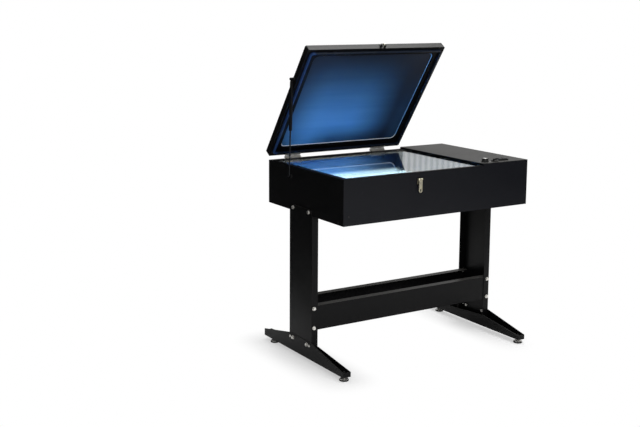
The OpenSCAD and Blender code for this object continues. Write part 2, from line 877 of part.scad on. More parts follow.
module cabinet_shell() {
    rear_y = cab_d - sheet;
    color(black_paint) stand_here() difference() {
        union() {
            block([0, cab_w], [sheet, cab_d], [cab_z, cab_z + sheet]);
            block([0, sheet], [sheet, cab_d], [cab_z, rim_z]);
            block([cab_w - sheet, cab_w], [sheet, cab_d], [cab_z, deck_z - sheet]);
            block([0, cab_w], [rear_y, cab_d], [cab_z, rim_z]);
            block([deck_x, cab_w], [rear_y, cab_d], [cab_z, deck_z - sheet]);
        }
        on_both_sides() tab_hole_places() bar_x([-thru, sheet + thru], 0, 0, bolt_r);
        bar_x([-thru, sheet + thru], strut_low[0], strut_low[1], strut_stud_r);
        bar_y([rear_y - thru, cab_d + thru], fan_x, fan_z, fan_hole_r);
        block([inlet_x - inlet_w / 2, inlet_x + inlet_w / 2], [rear_y - thru, cab_d + thru],
            [inlet_z - inlet_h / 2, inlet_z + inlet_h / 2]);
        for (i = [0 : vent_count - 1]) {
            z = vent_low + i * vent_pitch;
            block([pump_x - vent_w / 2, pump_x + vent_w / 2], [rear_y - thru, cab_d + thru], [z, z + vent_h]);
        }
        side_screw_places() bar_x([-thru, sheet + thru], 0, 0, cab_screw_r);
    }
}

// Small black screws: one low on the left side and one low on the front
module side_screw_places() {
    translate([0, side_screw_y, cab_z + side_screw_up]) children();
}
module front_screw_places() {
    translate([front_screw_x, 0, cab_z + front_screw_up]) children();
}

module front_panel() {
    color(black_paint) stand_here() difference() {
        union() {
            block([0, cab_w], [0, sheet], [cab_z, rim_z]);
            block([deck_x, cab_w], [0, sheet], [cab_z, deck_z - sheet]);
            block([sheet, 2 * sheet], [sheet, panel_return], [cab_z + sheet, rim_z]);
            block([cab_w - 2 * sheet, cab_w - sheet], [sheet, panel_return], [cab_z + sheet, rim_z]);
            block([2 * sheet, panel_flange_x], [sheet, 2 * sheet], [cab_z + sheet, tray_z - sheet]);
        }
        side_screw_places() bar_x([0, 2 * sheet + thru], 0, 0, cab_screw_r);
        front_screw_places() bar_y([-thru, 2 * sheet + thru], 0, 0, cab_screw_r);
        for (x = [-1, 1]) {
            bar_y([-thru, sheet + thru], latch_x + x * latch_screw_x, latch_screw_z, cab_screw_r);
        }
    }
}

module cabinet_screws() {
    color(black_paint) stand_here() {
        side_screw_places() {
            bar_x([-cab_head_h, 0], 0, 0, cab_head_r);
            bar_x([0, 2 * sheet + screw_end], 0, 0, cab_screw_r);
        }
        front_screw_places() {
            bar_y([-cab_head_h, 0], 0, 0, cab_head_r);
            bar_y([0, 2 * sheet + screw_end], 0, 0, cab_screw_r);
        }
    }
}

// Steel rim round the glass, with lips folded down to the ledge
module top_frame() {
    lip = sheet;
    glass_rear = cab_d - rim_rear;
    color(black_paint) stand_here() difference() {
        union() {
            difference() {
                block([0, deck_x], [0, cab_d], [rim_z, bench_h]);
                block([rim_left, deck_x + thru], [rim_front, glass_rear], [rim_z - thru, bench_h + thru]);
            }
            block([rim_left - lip, rim_left], [rim_front - lip, glass_rear + lip], [ledge_z, rim_z]);
            block([rim_left, deck_x], [rim_front - lip, rim_front], [ledge_z, rim_z]);
            block([rim_left, deck_x], [glass_rear, glass_rear + lip], [ledge_z, rim_z]);
        }
        bar_z([rim_z - thru, bench_h + thru], port_x, port_y, port_neck_r);
    }
}

module divider_panel() {
    color(white_paint) stand_here() difference() {
        union() {
            block([div_x, deck_x], [sheet, cab_d - sheet], [cab_z + sheet, ledge_low_z]);
            block([div_x, div_x + divider_foot], [sheet, cab_d - sheet], [cab_z + sheet, cab_z + 2 * sheet]);
        }
        bar_x([div_x - thru, deck_x + thru], port_y, hose_z, hose_r + hose_hole_gap);
    }
}

module glass_ledge() {
    color(black_paint) stand_here() {
        difference() {
            block([sheet, deck_x], [sheet, ledge_back], [ledge_low_z, ledge_z]);
            block([ledge_left, ledge_right], [ledge_front, ledge_rear], [ledge_low_z - thru, ledge_z + thru]);
            block([0, 2 * sheet + weld_gap], [0, panel_return + weld_gap],
                [ledge_low_z - thru, ledge_z + thru]);
        }
        block([sheet, deck_x], [ledge_back - ledge_t, ledge_back], [ledge_z, rim_z]);
    }
}

module glass_gasket() {
    x0 = rim_left + glass_gap + gasket_inset;
    y0 = rim_front + glass_gap + gasket_inset;
    y1 = cab_d - rim_rear - glass_gap - gasket_inset;
    color(rubber) stand_here() difference() {
        block([x0, deck_x - gasket_inset], [y0, y1], [ledge_z, ledge_z + gasket_t]);
        block(
            [ledge_left - gasket_over, ledge_right + gasket_over],
            [ledge_front - gasket_over, ledge_rear + gasket_over],
            [ledge_z - thru, ledge_z + gasket_t + thru]
        );
    }
}

module exposure_glass() {
    color([0.6, 0.8, 0.9, 0.4]) stand_here() block(
        [rim_left + glass_gap, deck_x - glass_gap],
        [rim_front + glass_gap, cab_d - rim_rear - glass_gap],
        [bench_h - glass_t, bench_h]
    );
}

module reflector_tray() {
    x = [tray_in, tray_x1];
    y = [tray_in, tray_y1];
    color(white_paint) stand_here() difference() {
        block(x, y, [tray_z, ledge_low_z]);
        block([x[0] + tray_t, x[1] - tray_t], [y[0] + tray_t, y[1] - tray_t], [tray_z + tray_t, ledge_z]);
    }
}

function lamp_y(i) = lamp_y0 + i * lamp_pitch;

module lamp_rails() {
    y = [lamp_y0 - holder_w / 2, lamp_y1 + holder_w / 2];
    z = [tray_z + tray_t, holder_z];
    color(white_paint) stand_here() {
        block([lamp_x0 - holder_t - rail_play, lamp_x0 + rail_in], y, z);
        block([lamp_x1 - rail_in, lamp_x1 + holder_t + rail_play], y, z);
    }
}

// Contact pins of one tube end, pointing from x0 to x1
module contacts(x, y, r) {
    for (s = [-1, 1]) bar_x(x, y, lamp_z + s * contact_span / 2, r, $fn = 16);
}

module lamp_holders() {
    top = lamp_z + lamp_r + holder_play;
    color(white_paint) stand_here() for (i = [0 : lamp_count - 1]) {
        y = [lamp_y(i) - holder_w / 2, lamp_y(i) + holder_w / 2];
        difference() {
            block([lamp_x0 - holder_t, lamp_x0], y, [holder_z, top]);
            contacts([lamp_x0 - contact_l - holder_play, lamp_x0 + thru], lamp_y(i), contact_r + run);
        }
        difference() {
            block([lamp_x1, lamp_x1 + holder_t], y, [holder_z, top]);
            contacts([lamp_x1 - thru, lamp_x1 + contact_l + holder_play], lamp_y(i), contact_r + run);
        }
    }
}

module lamp_tubes() {
    color([0.85, 0.9, 1]) stand_here() for (i = [0 : lamp_count - 1]) {
        bar_x([lamp_x0 + cap_l, lamp_x1 - cap_l], lamp_y(i), lamp_z, lamp_r);
    }
}

module lamp_caps() {
    color(zinc) stand_here() for (i = [0 : lamp_count - 1]) {
        bar_x([lamp_x0, lamp_x0 + cap_l], lamp_y(i), lamp_z, lamp_r);
        contacts([lamp_x0 - contact_l, lamp_x0], lamp_y(i), contact_r);
        bar_x([lamp_x1 - cap_l, lamp_x1], lamp_y(i), lamp_z, lamp_r);
        contacts([lamp_x1, lamp_x1 + contact_l], lamp_y(i), contact_r);
    }
}

module ballasts() {
    pitch = (div_x - 2 * sheet) / ballast_count;
    y0 = mid_y - ballast_l / 2;
    z0 = cab_z + sheet;
    color([0.8, 0.8, 0.8]) stand_here() for (i = [0 : ballast_count - 1]) {
        x0 = sheet + pitch * (i + 0.5) - ballast_w / 2;
        block([x0, x0 + ballast_w], [y0, y0 + ballast_l], [z0, z0 + ballast_h]);
        tab_x = [x0 + ballast_tab_in, x0 + ballast_w - ballast_tab_in];
        block(tab_x, [y0 - ballast_tab, y0], [z0, z0 + ballast_tab_t]);
        block(tab_x, [y0 + ballast_l, y0 + ballast_l + ballast_tab], [z0, z0 + ballast_tab_t]);
    }
}

// Controls

// A plate over the control bay with a skirt down beside the glass
module control_deck() {
    color(black_paint) stand_here() difference() {
        union() {
            block([deck_x, cab_w], [0, cab_d], [deck_z - sheet, deck_z]);
            block([deck_x, deck_x + sheet], [sheet, cab_d - sheet], [ledge_low_z, deck_z - sheet]);
        }
        for (p = [timer_at, selector_at]) {
            bar_z([deck_z - sheet - thru, deck_z + thru], p[0], p[1], bush_r + run);
        }
        block(
            [switch_at[0] - bezel_body_l / 2, switch_at[0] + bezel_body_l / 2],
            [switch_at[1] - bezel_body_w / 2, switch_at[1] + bezel_body_w / 2],
            [deck_z - sheet - thru, deck_z + thru]
        );
    }
}

// A square body under the deck with a threaded bush up through it and a nut on top
module control_body(at, h) {
    top = deck_z - sheet;
    nut_z = deck_z + bush_nut_h;
    w = body_w / 2;
    difference() {
        union() {
            block([at[0] - w, at[0] + w], [at[1] - w, at[1] + w], [top - h, top]);
            bar_z([top, nut_z], at[0], at[1], bush_r);
            translate([at[0], at[1], deck_z]) cylinder(h = bush_nut_h, r = bush_nut_r, $fn = 6);
        }
        bar_z([top - h + body_floor, nut_z + thru], at[0], at[1], shaft_r + run);
    }
}

module timer_body() {
    color(plastic) stand_here() control_body(timer_at, timer_body_h);
}
module selector_body() {
    color(plastic) stand_here() control_body(selector_at, selector_body_h);
}

// The shaft of a knob, from inside a body of height h up into the knob
module knob_shaft(h) {
    bar_z([deck_z - sheet - h + body_floor + shaft_gap, deck_z + nut_room + join], 0, 0, shaft_r);
}

// A fluted knob with a hollow underside for the bush nut, on its own shaft
module timer_knob() {
    z0 = deck_z + knob_lift;
    base_z = z0 + knob_base_h;
    color(plastic) stand_here() translate([timer_at[0], timer_at[1], 0]) {
        difference() {
            union() {
                bar_z([z0, base_z], 0, 0, knob_r);
                bar_z([base_z, z0 + timer_knob_h], 0, 0, knob_r - knob_step);
            }
            bar_z([z0 - thru, deck_z + nut_room], 0, 0, nut_room_r);
            for (i = [0 : knob_flutes - 1]) rotate(i * 360 / knob_flutes) {
                translate([knob_r - flute_in, 0, base_z]) cylinder(h = timer_knob_h, r = flute_r, $fn = 16);
            }
        }
        knob_shaft(timer_body_h);
    }
}

// A round disc with a raised bar across it that points at the setting
module selector_knob() {
    z0 = deck_z + knob_lift;
    disc_z = z0 + selector_disc_h;
    color(plastic) stand_here() translate([selector_at[0], selector_at[1], 0]) {
        difference() {
            union() {
                bar_z([z0, disc_z], 0, 0, knob_r);
                rotate(pointer_turn) intersection() {
                    block([-knob_r, knob_r], [-selector_bar_w / 2, selector_bar_w / 2],
                        [disc_z - join, disc_z + selector_bar_h]);
                    bar_z([z0, disc_z + selector_bar_h + thru], 0, 0, knob_r - 1);
                }
            }
            bar_z([z0 - thru, deck_z + nut_room], 0, 0, nut_room_r);
        }
        knob_shaft(selector_body_h);
    }
}

module switch_bezel() {
    color(plastic) stand_here() difference() {
        union() {
            block(
                [switch_at[0] - bezel_l / 2, switch_at[0] + bezel_l / 2],
                [switch_at[1] - bezel_w / 2, switch_at[1] + bezel_w / 2],
                [deck_z, deck_z + bezel_h]
            );
            block(
                [switch_at[0] - bezel_body_l / 2 + run, switch_at[0] + bezel_body_l / 2 - run],
                [switch_at[1] - bezel_body_w / 2 + run, switch_at[1] + bezel_body_w / 2 - run],
                [deck_z - bezel_depth, deck_z]
            );
        }
        for (x = rocker_x) {
            hx = rocker_l / 2 + rocker_gap;
            hy = rocker_r + rocker_gap;
            block([x - hx, x + hx], [switch_at[1] - hy, switch_at[1] + hy],
                [rocker_z - hy, deck_z + bezel_h + thru]);
            bar_x([x - hx - rocker_pin_l, x + hx + rocker_pin_l], switch_at[1], rocker_z, rocker_pin_r + run);
        }
    }
}

// A rocker with a round underside and two flat faces that meet in a shallow valley
module rocker(x) {
    half = rocker_travel / 2;
    translate([x, switch_at[1], rocker_z]) rotate([half, 0, 0]) {
        intersection() {
            bar_x([-rocker_l / 2, rocker_l / 2], 0, 0, rocker_r);
            for (a = [half, -half]) rotate([a, 0, 0]) block(
                [-rocker_l, rocker_l], a > 0 ? [0, rocker_r] : [-rocker_r, 0], [-rocker_r, rocker_top]
            );
        }
        bar_x([-rocker_l / 2 - rocker_pin_l, rocker_l / 2 + rocker_pin_l], 0, 0, rocker_pin_r);
    }
}
module power_rocker() {
    color([0.1, 0.45, 0.2]) stand_here() rocker(rocker_x[0]);
}
module vacuum_rocker() {
    color(plastic) stand_here() rocker(rocker_x[1]);
}

// Supply and cooling

// A recessed appliance inlet with three blades, its flange on the cabinet's back
module power_inlet() {
    back = -inlet_depth + inlet_floor;
    half_w = inlet_w / 2;
    half_h = inlet_h / 2;
    color(plastic) stand_here() translate([inlet_x, cab_d, inlet_z]) {
        difference() {
            union() {
                block([-inlet_plate_w / 2, inlet_plate_w / 2], [0, inlet_plate_t],
                    [-inlet_plate_h / 2, inlet_plate_h / 2]);
                block([-half_w + weld_gap, half_w - weld_gap], [-inlet_depth, 0],
                    [-half_h + weld_gap, half_h - weld_gap]);
            }
            block([-half_w + inlet_wall, half_w - inlet_wall], [back, inlet_plate_t + thru],
                [-half_h + inlet_wall, half_h - inlet_wall]);
        }
        for (p = inlet_pins) {
            translate([p[0] - inlet_blade[0] / 2, back, p[1] - inlet_blade[2] / 2]) cube(inlet_blade);
        }
    }
}

module terminal_block() {
    x = timer_at[0];
    z = cab_z + sheet;
    color(white_paint) stand_here() {
        block([x, x + terminal_w], [terminal_y, terminal_y + terminal_pitch * terminal_ways],
            [z, z + terminal_h]);
        for (i = [0 : terminal_ways - 1]) {
            y = terminal_y + terminal_pitch * (i + 0.5);
            bar_z([z + terminal_h, z + terminal_h + 4], x + terminal_w / 2, y, terminal_screw_r);
        }
    }
}

module fan_housing() {
    y = [cab_d - sheet - fan_t, cab_d - sheet];
    w = fan_w / 2;
    spoke = fan_spoke;
    reach = fan_hole_r + 2;
    color(plastic) stand_here() {
        difference() {
            block([fan_x - w, fan_x + w], y, [fan_z - w, fan_z + w]);
            bar_y([y[0] - thru, y[1] + thru], fan_x, fan_z, fan_hole_r);
        }
        difference() {
            union() {
                block([fan_x - reach, fan_x + reach], [y[0], y[0] + spoke], [fan_z - spoke, fan_z + spoke]);
                block([fan_x - spoke, fan_x + spoke], [y[0], y[0] + spoke], [fan_z - reach, fan_z + reach]);
                bar_y([y[0], y[0] + spoke], fan_x, fan_z, fan_hub_r);
                bar_y([y[0], y[1] - fan_bearing_gap], fan_x, fan_z, fan_bearing_r);
            }
            bar_y([y[0] + spoke, y[1]], fan_x, fan_z, fan_shaft_r + run);
        }
    }
}

// Hub and blades, with the shaft that turns in the housing's bearing tube
module fan_rotor() {
    y0 = cab_d - sheet - fan_t + fan_end_gap;
    y1 = cab_d - sheet - fan_end_gap;
    root_r = fan_hub_r - fan_spoke;
    color(plastic) stand_here() {
        difference() {
            union() {
                bar_y([y0, y1], fan_x, fan_z, fan_hub_r - join);
                for (i = [0 : fan_blades - 1]) {
                    translate([fan_x, (y0 + y1) / 2, fan_z]) rotate([0, i * 360 / fan_blades, 0]) {
                        translate([root_r, 0, 0]) rotate([blade_turn, 0, 0]) block(
                            [0, fan_hole_r - fan_hub_r],
                            [-blade_t / 2, blade_t / 2], [-blade_w / 2, blade_w / 2]
                        );
                    }
                }
            }
            bar_y([y0 - thru, y1 - sheet], fan_x, fan_z, fan_bearing_r + fan_play);
        }
        bar_y([y0 + join, y1], fan_x, fan_z, fan_shaft_r);
    }
}

// Wire rings on four straight wires, on the cabinet's back
module fan_grille() {
    y = cab_d + grille_gap;
    ring_step = fan_hole_r / grille_rings;
    color(zinc) stand_here() {
        for (i = [1 : grille_rings]) translate([fan_x, y, fan_z]) rotate([90, 0, 0]) {
            rotate_extrude() translate([i * ring_step, 0]) circle(r = wire_r, $fn = 16);
        }
        for (a = [45, 135]) translate([fan_x, y - grille_bar_r, fan_z]) rotate([0, a, 0]) {
            bar_x([-grille_reach, grille_reach], 0, 0, grille_bar_r);
            for (s = [-1, 1]) bar_y([-grille_bar_r, grille_bar_r], s * grille_reach, 0, grille_foot_r);
        }
    }
}

// Vacuum

module vacuum_port() {
    color([0.78, 0.62, 0.3]) stand_here() translate([port_x, port_y, 0]) difference() {
        union() {
            bar_z([port_low_z, rim_z], 0, 0, port_body_r);
            bar_z([rim_z, bench_h], 0, 0, port_neck_r - run);
            bar_z([port_low_z - barb_l, port_low_z], 0, 0, barb_r);
        }
        bar_z([port_low_z - barb_l - thru, bench_h + thru], 0, 0, port_bore_r);
    }
}

// The hose drops from the port, bends once and runs through the divider to the pump's inlet
module vacuum_hose() {
    bend_z = hose_z + hose_bend;
    bore = barb_r + run;
    color(rubber) stand_here() translate([port_x, port_y, 0]) {
        difference() {
            bar_z([bend_z, port_low_z], 0, 0, hose_r);
            bar_z([bend_z - thru, port_low_z + thru], 0, 0, bore);
        }
        translate([hose_bend, 0, bend_z]) rotate([90, 0, 180]) rotate_extrude(angle = -90) {
            translate([hose_bend, 0]) difference() {
                circle(r = hose_r);
                circle(r = bore);
            }
        }
        difference() {
            bar_x([hose_bend, pump_head_x0 - port_x], 0, hose_z, hose_r);
            bar_x([hose_bend - thru, pump_head_x0 - port_x + thru], 0, hose_z, bore);
        }
    }
}

// Motor casing, valve head, base plate and rubber mounts of the vacuum pump
module vacuum_pump() {
    head_y = [port_y - pump_head_w / 2, cab_d - sheet - pump_head_gap];
    motor_y = [head_y[0] - pump_l, head_y[0]];
    base_z = pump_z - pump_r;
    color([0.5, 0.5, 0.52]) stand_here() {
        bar_y(motor_y, pump_x, pump_z, pump_r);
        block([pump_head_x0, pump_x + pump_head_w / 2], head_y,
            [pump_z - pump_head_down, pump_z + pump_head_up]);
        bar_x([pump_head_x0 - barb_l, pump_head_x0], port_y, hose_z, barb_r);
        difference() {
            block([pump_x - pump_base_half, pump_x + pump_base_half], motor_y,
                [base_z - pump_base_t, base_z + pump_base_t]);
            bar_y([motor_y[0] - thru, motor_y[1] + thru], pump_x, pump_z, pump_r - join);
        }
        for (x = [-pump_foot_x, pump_foot_x], y = [motor_y[0] + pump_foot_y, motor_y[1] - pump_foot_y]) {
            bar_z([cab_z + sheet, base_z - pump_base_t], pump_x + x, y, pump_foot_r);
        }
    }
}

// Hinges

// Knuckles of one hinge from its left end: five of equal length, every second one of a leaf
module knuckles(x, which) {
    pitch = hinge_w / 5;
    x0 = x - (hinge_w - knuckle_gap) / 2;
    for (i = which) bar_x([x0 + i * pitch, x0 + (i + 1) * pitch - knuckle_gap], 0, 0, knuckle_r);
}

// One leaf: a plate on the side z of the pin, cut back round the other leaf's knuckles
module hinge_leaf(x, z, own, other) {
    pitch = hinge_w / 5;
    x0 = x - (hinge_w + knuckle_gap) / 2;
    difference() {
        union() {
            knuckles(x, own);
            block([x - hinge_w / 2, x + hinge_w / 2], [-leaf_len, 0], z);
        }
        for (i = other) block(
            [x0 + i * pitch, x0 + (i + 1) * pitch + knuckle_gap],
            [-knuckle_r - knuckle_gap, knuckle_r + thru], [-knuckle_r - thru, knuckle_r + thru]
        );
        bar_x([x - hinge_w / 2 - thru, x + hinge_w / 2 + thru], 0, 0, hinge_pin_r + run);
    }
}

module cabinet_hinge_leaves() {
    color(zinc) stand_here() translate([0, pin_y, pin_z]) for (x = hinge_x) {
        hinge_leaf(x, [-knuckle_r, -knuckle_r + leaf_t], [0, 2, 4], [1, 3]);
    }
}

module lid_hinge_leaves() {
    color(zinc) stand_here() on_lid() for (x = hinge_x) {
        hinge_leaf(x, [knuckle_r - leaf_t, knuckle_r], [1, 3], [0, 2, 4]);
    }
}

module hinge_pins() {
    color(zinc) stand_here() for (x = hinge_x) {
        bar_x([x - hinge_w / 2 - pin_end, x + hinge_w / 2 + pin_end], pin_y, pin_z, hinge_pin_r);
    }
}

// Lid

module lid_skin() {
    inner_r = lid_corner_r - lid_roof;
    color(black_paint) stand_here() on_lid() translate([0, 0, lid_lift]) difference() {
        linear_extrude(lid_h) round_rect([0, lid_w], [-lid_far, -lid_back], lid_corner_r);
        translate([0, 0, -thru]) linear_extrude(lid_h - lid_roof + thru) {
            round_rect([lid_roof, lid_w - lid_roof], [-lid_far + lid_roof, -lid_back - lid_roof], inner_r);
        }
        bar_x([-thru, lid_roof + thru], -stud_lid_u, stud_lid_n, strut_stud_r);
        for (s = [-1, 1]) translate([latch_x + s * catch_rivet_x, 0, catch_rivet_z]) {
            bar_y([-lid_far - thru, -lid_far + lid_roof + thru], 0, 0, cab_screw_r);
        }
    }
}

// The inner rim: a flat face round the opening, a fold up to the blanket and a seat for its edge
module lid_frame() {
    inset = lid_roof + weld_gap;
    corner_r = lid_corner_r - lid_roof;
    color(black_paint) stand_here() on_lid() translate([0, 0, lid_lift]) {
        linear_extrude(lid_roof) difference() {
            round_rect([inset, lid_w - inset], [-lid_far + inset, -lid_back - inset], corner_r);
            lid_opening(0);
        }
        translate([0, 0, lid_roof]) linear_extrude(recess - lid_roof) difference() {
            lid_opening(lid_roof);
            lid_opening(0);
        }
        translate([0, 0, recess - lid_roof]) linear_extrude(lid_roof) difference() {
            lid_opening(blanket_seat);
            lid_opening(0);
        }
    }
}

module lid_blanket() {
    color([0.15, 0.25, 0.4]) stand_here() on_lid() translate([0, 0, lid_lift + recess]) {
        linear_extrude(blanket_t) lid_opening(blanket_seat - blanket_play);
    }
}

module blanket_retainer() {
    color(zinc) stand_here() on_lid() translate([0, 0, lid_lift + recess + blanket_t]) {
        linear_extrude(retainer_h) difference() {
            lid_opening(blanket_seat - blanket_play);
            lid_opening(lid_roof);
        }
    }
}

// A ring of the seal, half its width to each side of its middle line
module seal_ring(half) {
    lid_ring(seal_inset - half, seal_inset + half, seal_mid_r + half, seal_mid_r - half);
}

// Rubber seal under the lid frame: a wide base and a narrower lip that meets the glass
module lid_seal() {
    color(rubber) stand_here() on_lid() translate([0, 0, lid_lift]) {
        translate([0, 0, -seal_base_h]) linear_extrude(seal_base_h) seal_ring(seal_w / 2);
        translate([0, 0, -seal_h]) linear_extrude(seal_h - seal_base_h) seal_ring(seal_lip_w / 2);
    }
}

// Gas strut

module strut_base_stud() {
    color(zinc) stand_here() translate([0, strut_low[0], strut_low[1]]) {
        bar_x([-stud_flange_h, 0], 0, 0, stud_flange_r);
        bar_x([-strut_out - low_eye_half - stud_end, sheet + stud_nut_h], 0, 0, strut_stud_r);
        bar_x([sheet, sheet + stud_nut_h], 0, 0, stud_nut_r);
    }
}

module lid_strut_stud() {
    color(zinc) stand_here() on_lid() translate([0, -stud_lid_u, stud_lid_h]) {
        bar_x([-stud_flange_h, 0], 0, 0, stud_flange_r);
        bar_x([0, lid_roof + stud_nut_h], 0, 0, strut_stud_r);
        bar_x([lid_roof, lid_roof + stud_nut_h], 0, 0, stud_nut_r);
    }
}

// The rod with its lower eye on the cabinet's stud and its piston inside the tube
module strut_rod() {
    eye = low_eye_half;
    color(zinc) stand_here() on_strut() {
        difference() {
            union() {
                bar_x([-eye, eye], 0, 0, strut_eye_r);
                bar_z([0, strut_eye_r + neck_l], 0, 0, neck_r);
                bar_z([strut_eye_r, rod_tip], 0, 0, strut_rod_r);
                bar_z([rod_tip - piston_l, rod_tip], 0, 0, tube_bore_r - run);
            }
            bar_x([-eye - thru, eye + thru], 0, 0, strut_stud_r + run);
        }
    }
}

// The tube with its rod guide below and its eye on the lid's stud above
module strut_tube() {
    color(black_paint) stand_here() on_strut() {
        difference() {
            bar_z([tube_mouth, tube_top], 0, 0, tube_r);
            bar_z([tube_mouth - thru, tube_mouth + guide_l + thru], 0, 0, strut_rod_r + run);
            bar_z([tube_mouth + guide_l, tube_top - tube_cap], 0, 0, tube_bore_r);
        }
        bar_z([tube_top - join, strut_len], 0, 0, neck_r);
        translate([0, 0, strut_len]) bar_x([-tube_r, tube_r], 0, 0, strut_eye_r);
    }
}

// Latch

// Base plate with two knuckles and the pin that the strap swings on
module latch_base() {
    w = latch_w / 2;
    plate_z = latch_pin_z + latch_knuckle_r;
    color(zinc) stand_here() translate([latch_x, 0, 0]) {
        difference() {
            block([-w, w], [-latch_base_t, 0], [plate_z - latch_plate_h, plate_z]);
            for (s = [-1, 1]) {
                bar_y([-latch_base_t - thru, thru], s * latch_screw_x, latch_screw_z, cab_screw_r);
            }
        }
        for (x = [[-w, -latch_neck_w / 2 - latch_side_gap], [latch_neck_w / 2 + latch_side_gap, w]]) {
            bar_x(x, latch_pin_y, latch_pin_z, latch_knuckle_r);
            block(x, [latch_pin_y, -latch_base_t], [latch_pin_z, plate_z]);
        }
        bar_x([-w, w], latch_pin_y, latch_pin_z, latch_pin_r);
        for (s = [-1, 1]) translate([s * latch_screw_x, 0, latch_screw_z]) {
            bar_y([-latch_base_t - latch_screw_h, -latch_base_t], 0, 0, cab_head_r);
            bar_y([-latch_base_t, 2 * sheet], 0, 0, cab_screw_r);
        }
    }
}

// The strap hangs from its knuckle; its slot passes over the turn staple when it is swung up
module latch_strap() {
    slot_half = (slot_l - slot_w) / 2;
    slot_ends = [-latch_slot - slot_half, -latch_slot + slot_half];
    y0 = latch_pin_y - latch_knuckle_r;
    end_r = strap_w / 2;
    color(zinc) stand_here() translate([latch_x, 0, latch_pin_z]) {
        difference() {
            union() {
                bar_x([-latch_neck_w / 2, latch_neck_w / 2], latch_pin_y, 0, latch_knuckle_r);
                block([-latch_neck_w / 2, latch_neck_w / 2], [y0, y0 + strap_t], [-strap_shoulder, 0]);
                block([-end_r, end_r], [y0, y0 + strap_t], [-strap_l + end_r, -strap_shoulder]);
                bar_y([y0, y0 + strap_t], 0, -strap_l + end_r, end_r);
                bar_y([y0 - dimple_h, y0], 0, -dimple_z, dimple_r);
            }
            bar_x([-latch_neck_w / 2 - thru, latch_neck_w / 2 + thru], latch_pin_y, 0, latch_pin_r + run);
            for (z = slot_ends) bar_y([y0 - thru, y0 + strap_t + thru], 0, z, slot_w / 2);
            block([-slot_w / 2, slot_w / 2], [y0 - thru, y0 + strap_t + thru], slot_ends);
        }
    }
}

// Folded bracket on the lid's front wall that carries the turn staple
module lid_catch() {
    w = latch_w / 2;
    face_z = [staple_n - catch_h / 2 + catch_rise, staple_n + catch_h / 2 + catch_rise];
    y_wall = -lid_far;
    y_face = -lid_far - catch_out;
    color(zinc) stand_here() on_lid() translate([latch_x, 0, lid_lift]) difference() {
        union() {
            block([-w, w], [y_face, y_face + catch_t], face_z);
            for (x = [[-w, -w + catch_t], [w - catch_t, w]]) block(x, [y_face, y_wall], face_z);
            block([-w, w], [y_wall - catch_t, y_wall], [face_z[1] - catch_t, lid_h - catch_top_gap]);
            for (s = [-1, 1]) {
                translate([s * catch_rivet_x, 0, catch_rivet_z]) {
                    bar_y([y_wall - catch_t, y_wall + lid_roof + thread_end], 0, 0, cab_screw_r);
                    bar_y([y_wall - catch_t - catch_rivet_h, y_wall - catch_t], 0, 0, catch_rivet_r);
                }
            }
        }
        bar_y([y_face - thru, y_face + catch_t + thru], 0, staple_n, staple_r + run);
    }
}

// Oblong head on a round shank; a quarter turn locks the strap
module turn_staple() {
    y_face = -lid_far - catch_out;
    head_y = y_face - catch_gap - strap_t - staple_head_gap;
    washer_y = y_face + catch_t + staple_play;
    end_z = staple_half - staple_r;
    color(zinc) stand_here() on_lid() translate([latch_x, 0, lid_lift + staple_n]) {
        bar_y([head_y, washer_y], 0, 0, staple_r);
        bar_y([washer_y, washer_y + staple_washer_t], 0, 0, staple_washer_r);
        for (z = [-end_z, end_z]) bar_y([head_y - staple_head_t, head_y], 0, z, staple_head_r);
        block([-staple_head_r, staple_head_r], [head_y - staple_head_t, head_y], [-end_z, end_z]);
    }
}

left_column();
right_column();
front_stretcher();
rear_stretcher();
left_foot();
right_foot();
foot_bolts();
foot_screws();
frame_bolts();
frame_nuts();
levelling_foot_front_left();
levelling_foot_rear_left();
levelling_foot_front_right();
levelling_foot_rear_right();
cabinet_shell();
front_panel();
top_frame();
divider_panel();
glass_ledge();
glass_gasket();
exposure_glass();
reflector_tray();
lamp_rails();
lamp_holders();
lamp_tubes();
lamp_caps();
ballasts();
control_deck();
timer_body();
timer_knob();
selector_body();
selector_knob();
switch_bezel();
power_rocker();
vacuum_rocker();
power_inlet();
terminal_block();
fan_housing();
fan_rotor();
fan_grille();
vacuum_pump();
vacuum_port();
vacuum_hose();
cabinet_screws();
cabinet_hinge_leaves();
lid_hinge_leaves();
hinge_pins();
lid_skin();
lid_frame();
lid_blanket();
blanket_retainer();
lid_seal();
strut_base_stud();
lid_strut_stud();
strut_rod();
strut_tube();
latch_base();
latch_strap();
lid_catch();
turn_staple();
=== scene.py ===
import json
import math

import bpy
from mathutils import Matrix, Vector


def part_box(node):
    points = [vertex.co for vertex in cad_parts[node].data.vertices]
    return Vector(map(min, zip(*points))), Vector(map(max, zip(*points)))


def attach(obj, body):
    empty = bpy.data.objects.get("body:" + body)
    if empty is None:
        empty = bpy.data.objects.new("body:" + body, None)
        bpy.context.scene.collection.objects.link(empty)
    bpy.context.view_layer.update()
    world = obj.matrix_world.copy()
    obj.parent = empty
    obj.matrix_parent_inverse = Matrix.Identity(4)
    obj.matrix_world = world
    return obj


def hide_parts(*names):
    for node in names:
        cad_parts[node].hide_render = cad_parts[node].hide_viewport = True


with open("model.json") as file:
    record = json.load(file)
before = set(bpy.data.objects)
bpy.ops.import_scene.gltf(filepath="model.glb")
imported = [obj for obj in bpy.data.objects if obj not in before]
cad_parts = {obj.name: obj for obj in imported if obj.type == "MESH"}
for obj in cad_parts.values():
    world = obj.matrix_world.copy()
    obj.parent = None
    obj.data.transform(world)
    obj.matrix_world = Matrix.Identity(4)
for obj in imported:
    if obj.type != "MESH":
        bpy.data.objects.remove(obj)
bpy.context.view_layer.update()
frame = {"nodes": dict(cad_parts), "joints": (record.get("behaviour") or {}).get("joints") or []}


# Camera: it stood left of the front, well above the glass, nearly six metres away.
# The view is turned 32 degrees from the unit's front and 9 degrees down.
view_down, view_roll, view_turn = 0.1594, -0.0063, 0.5562
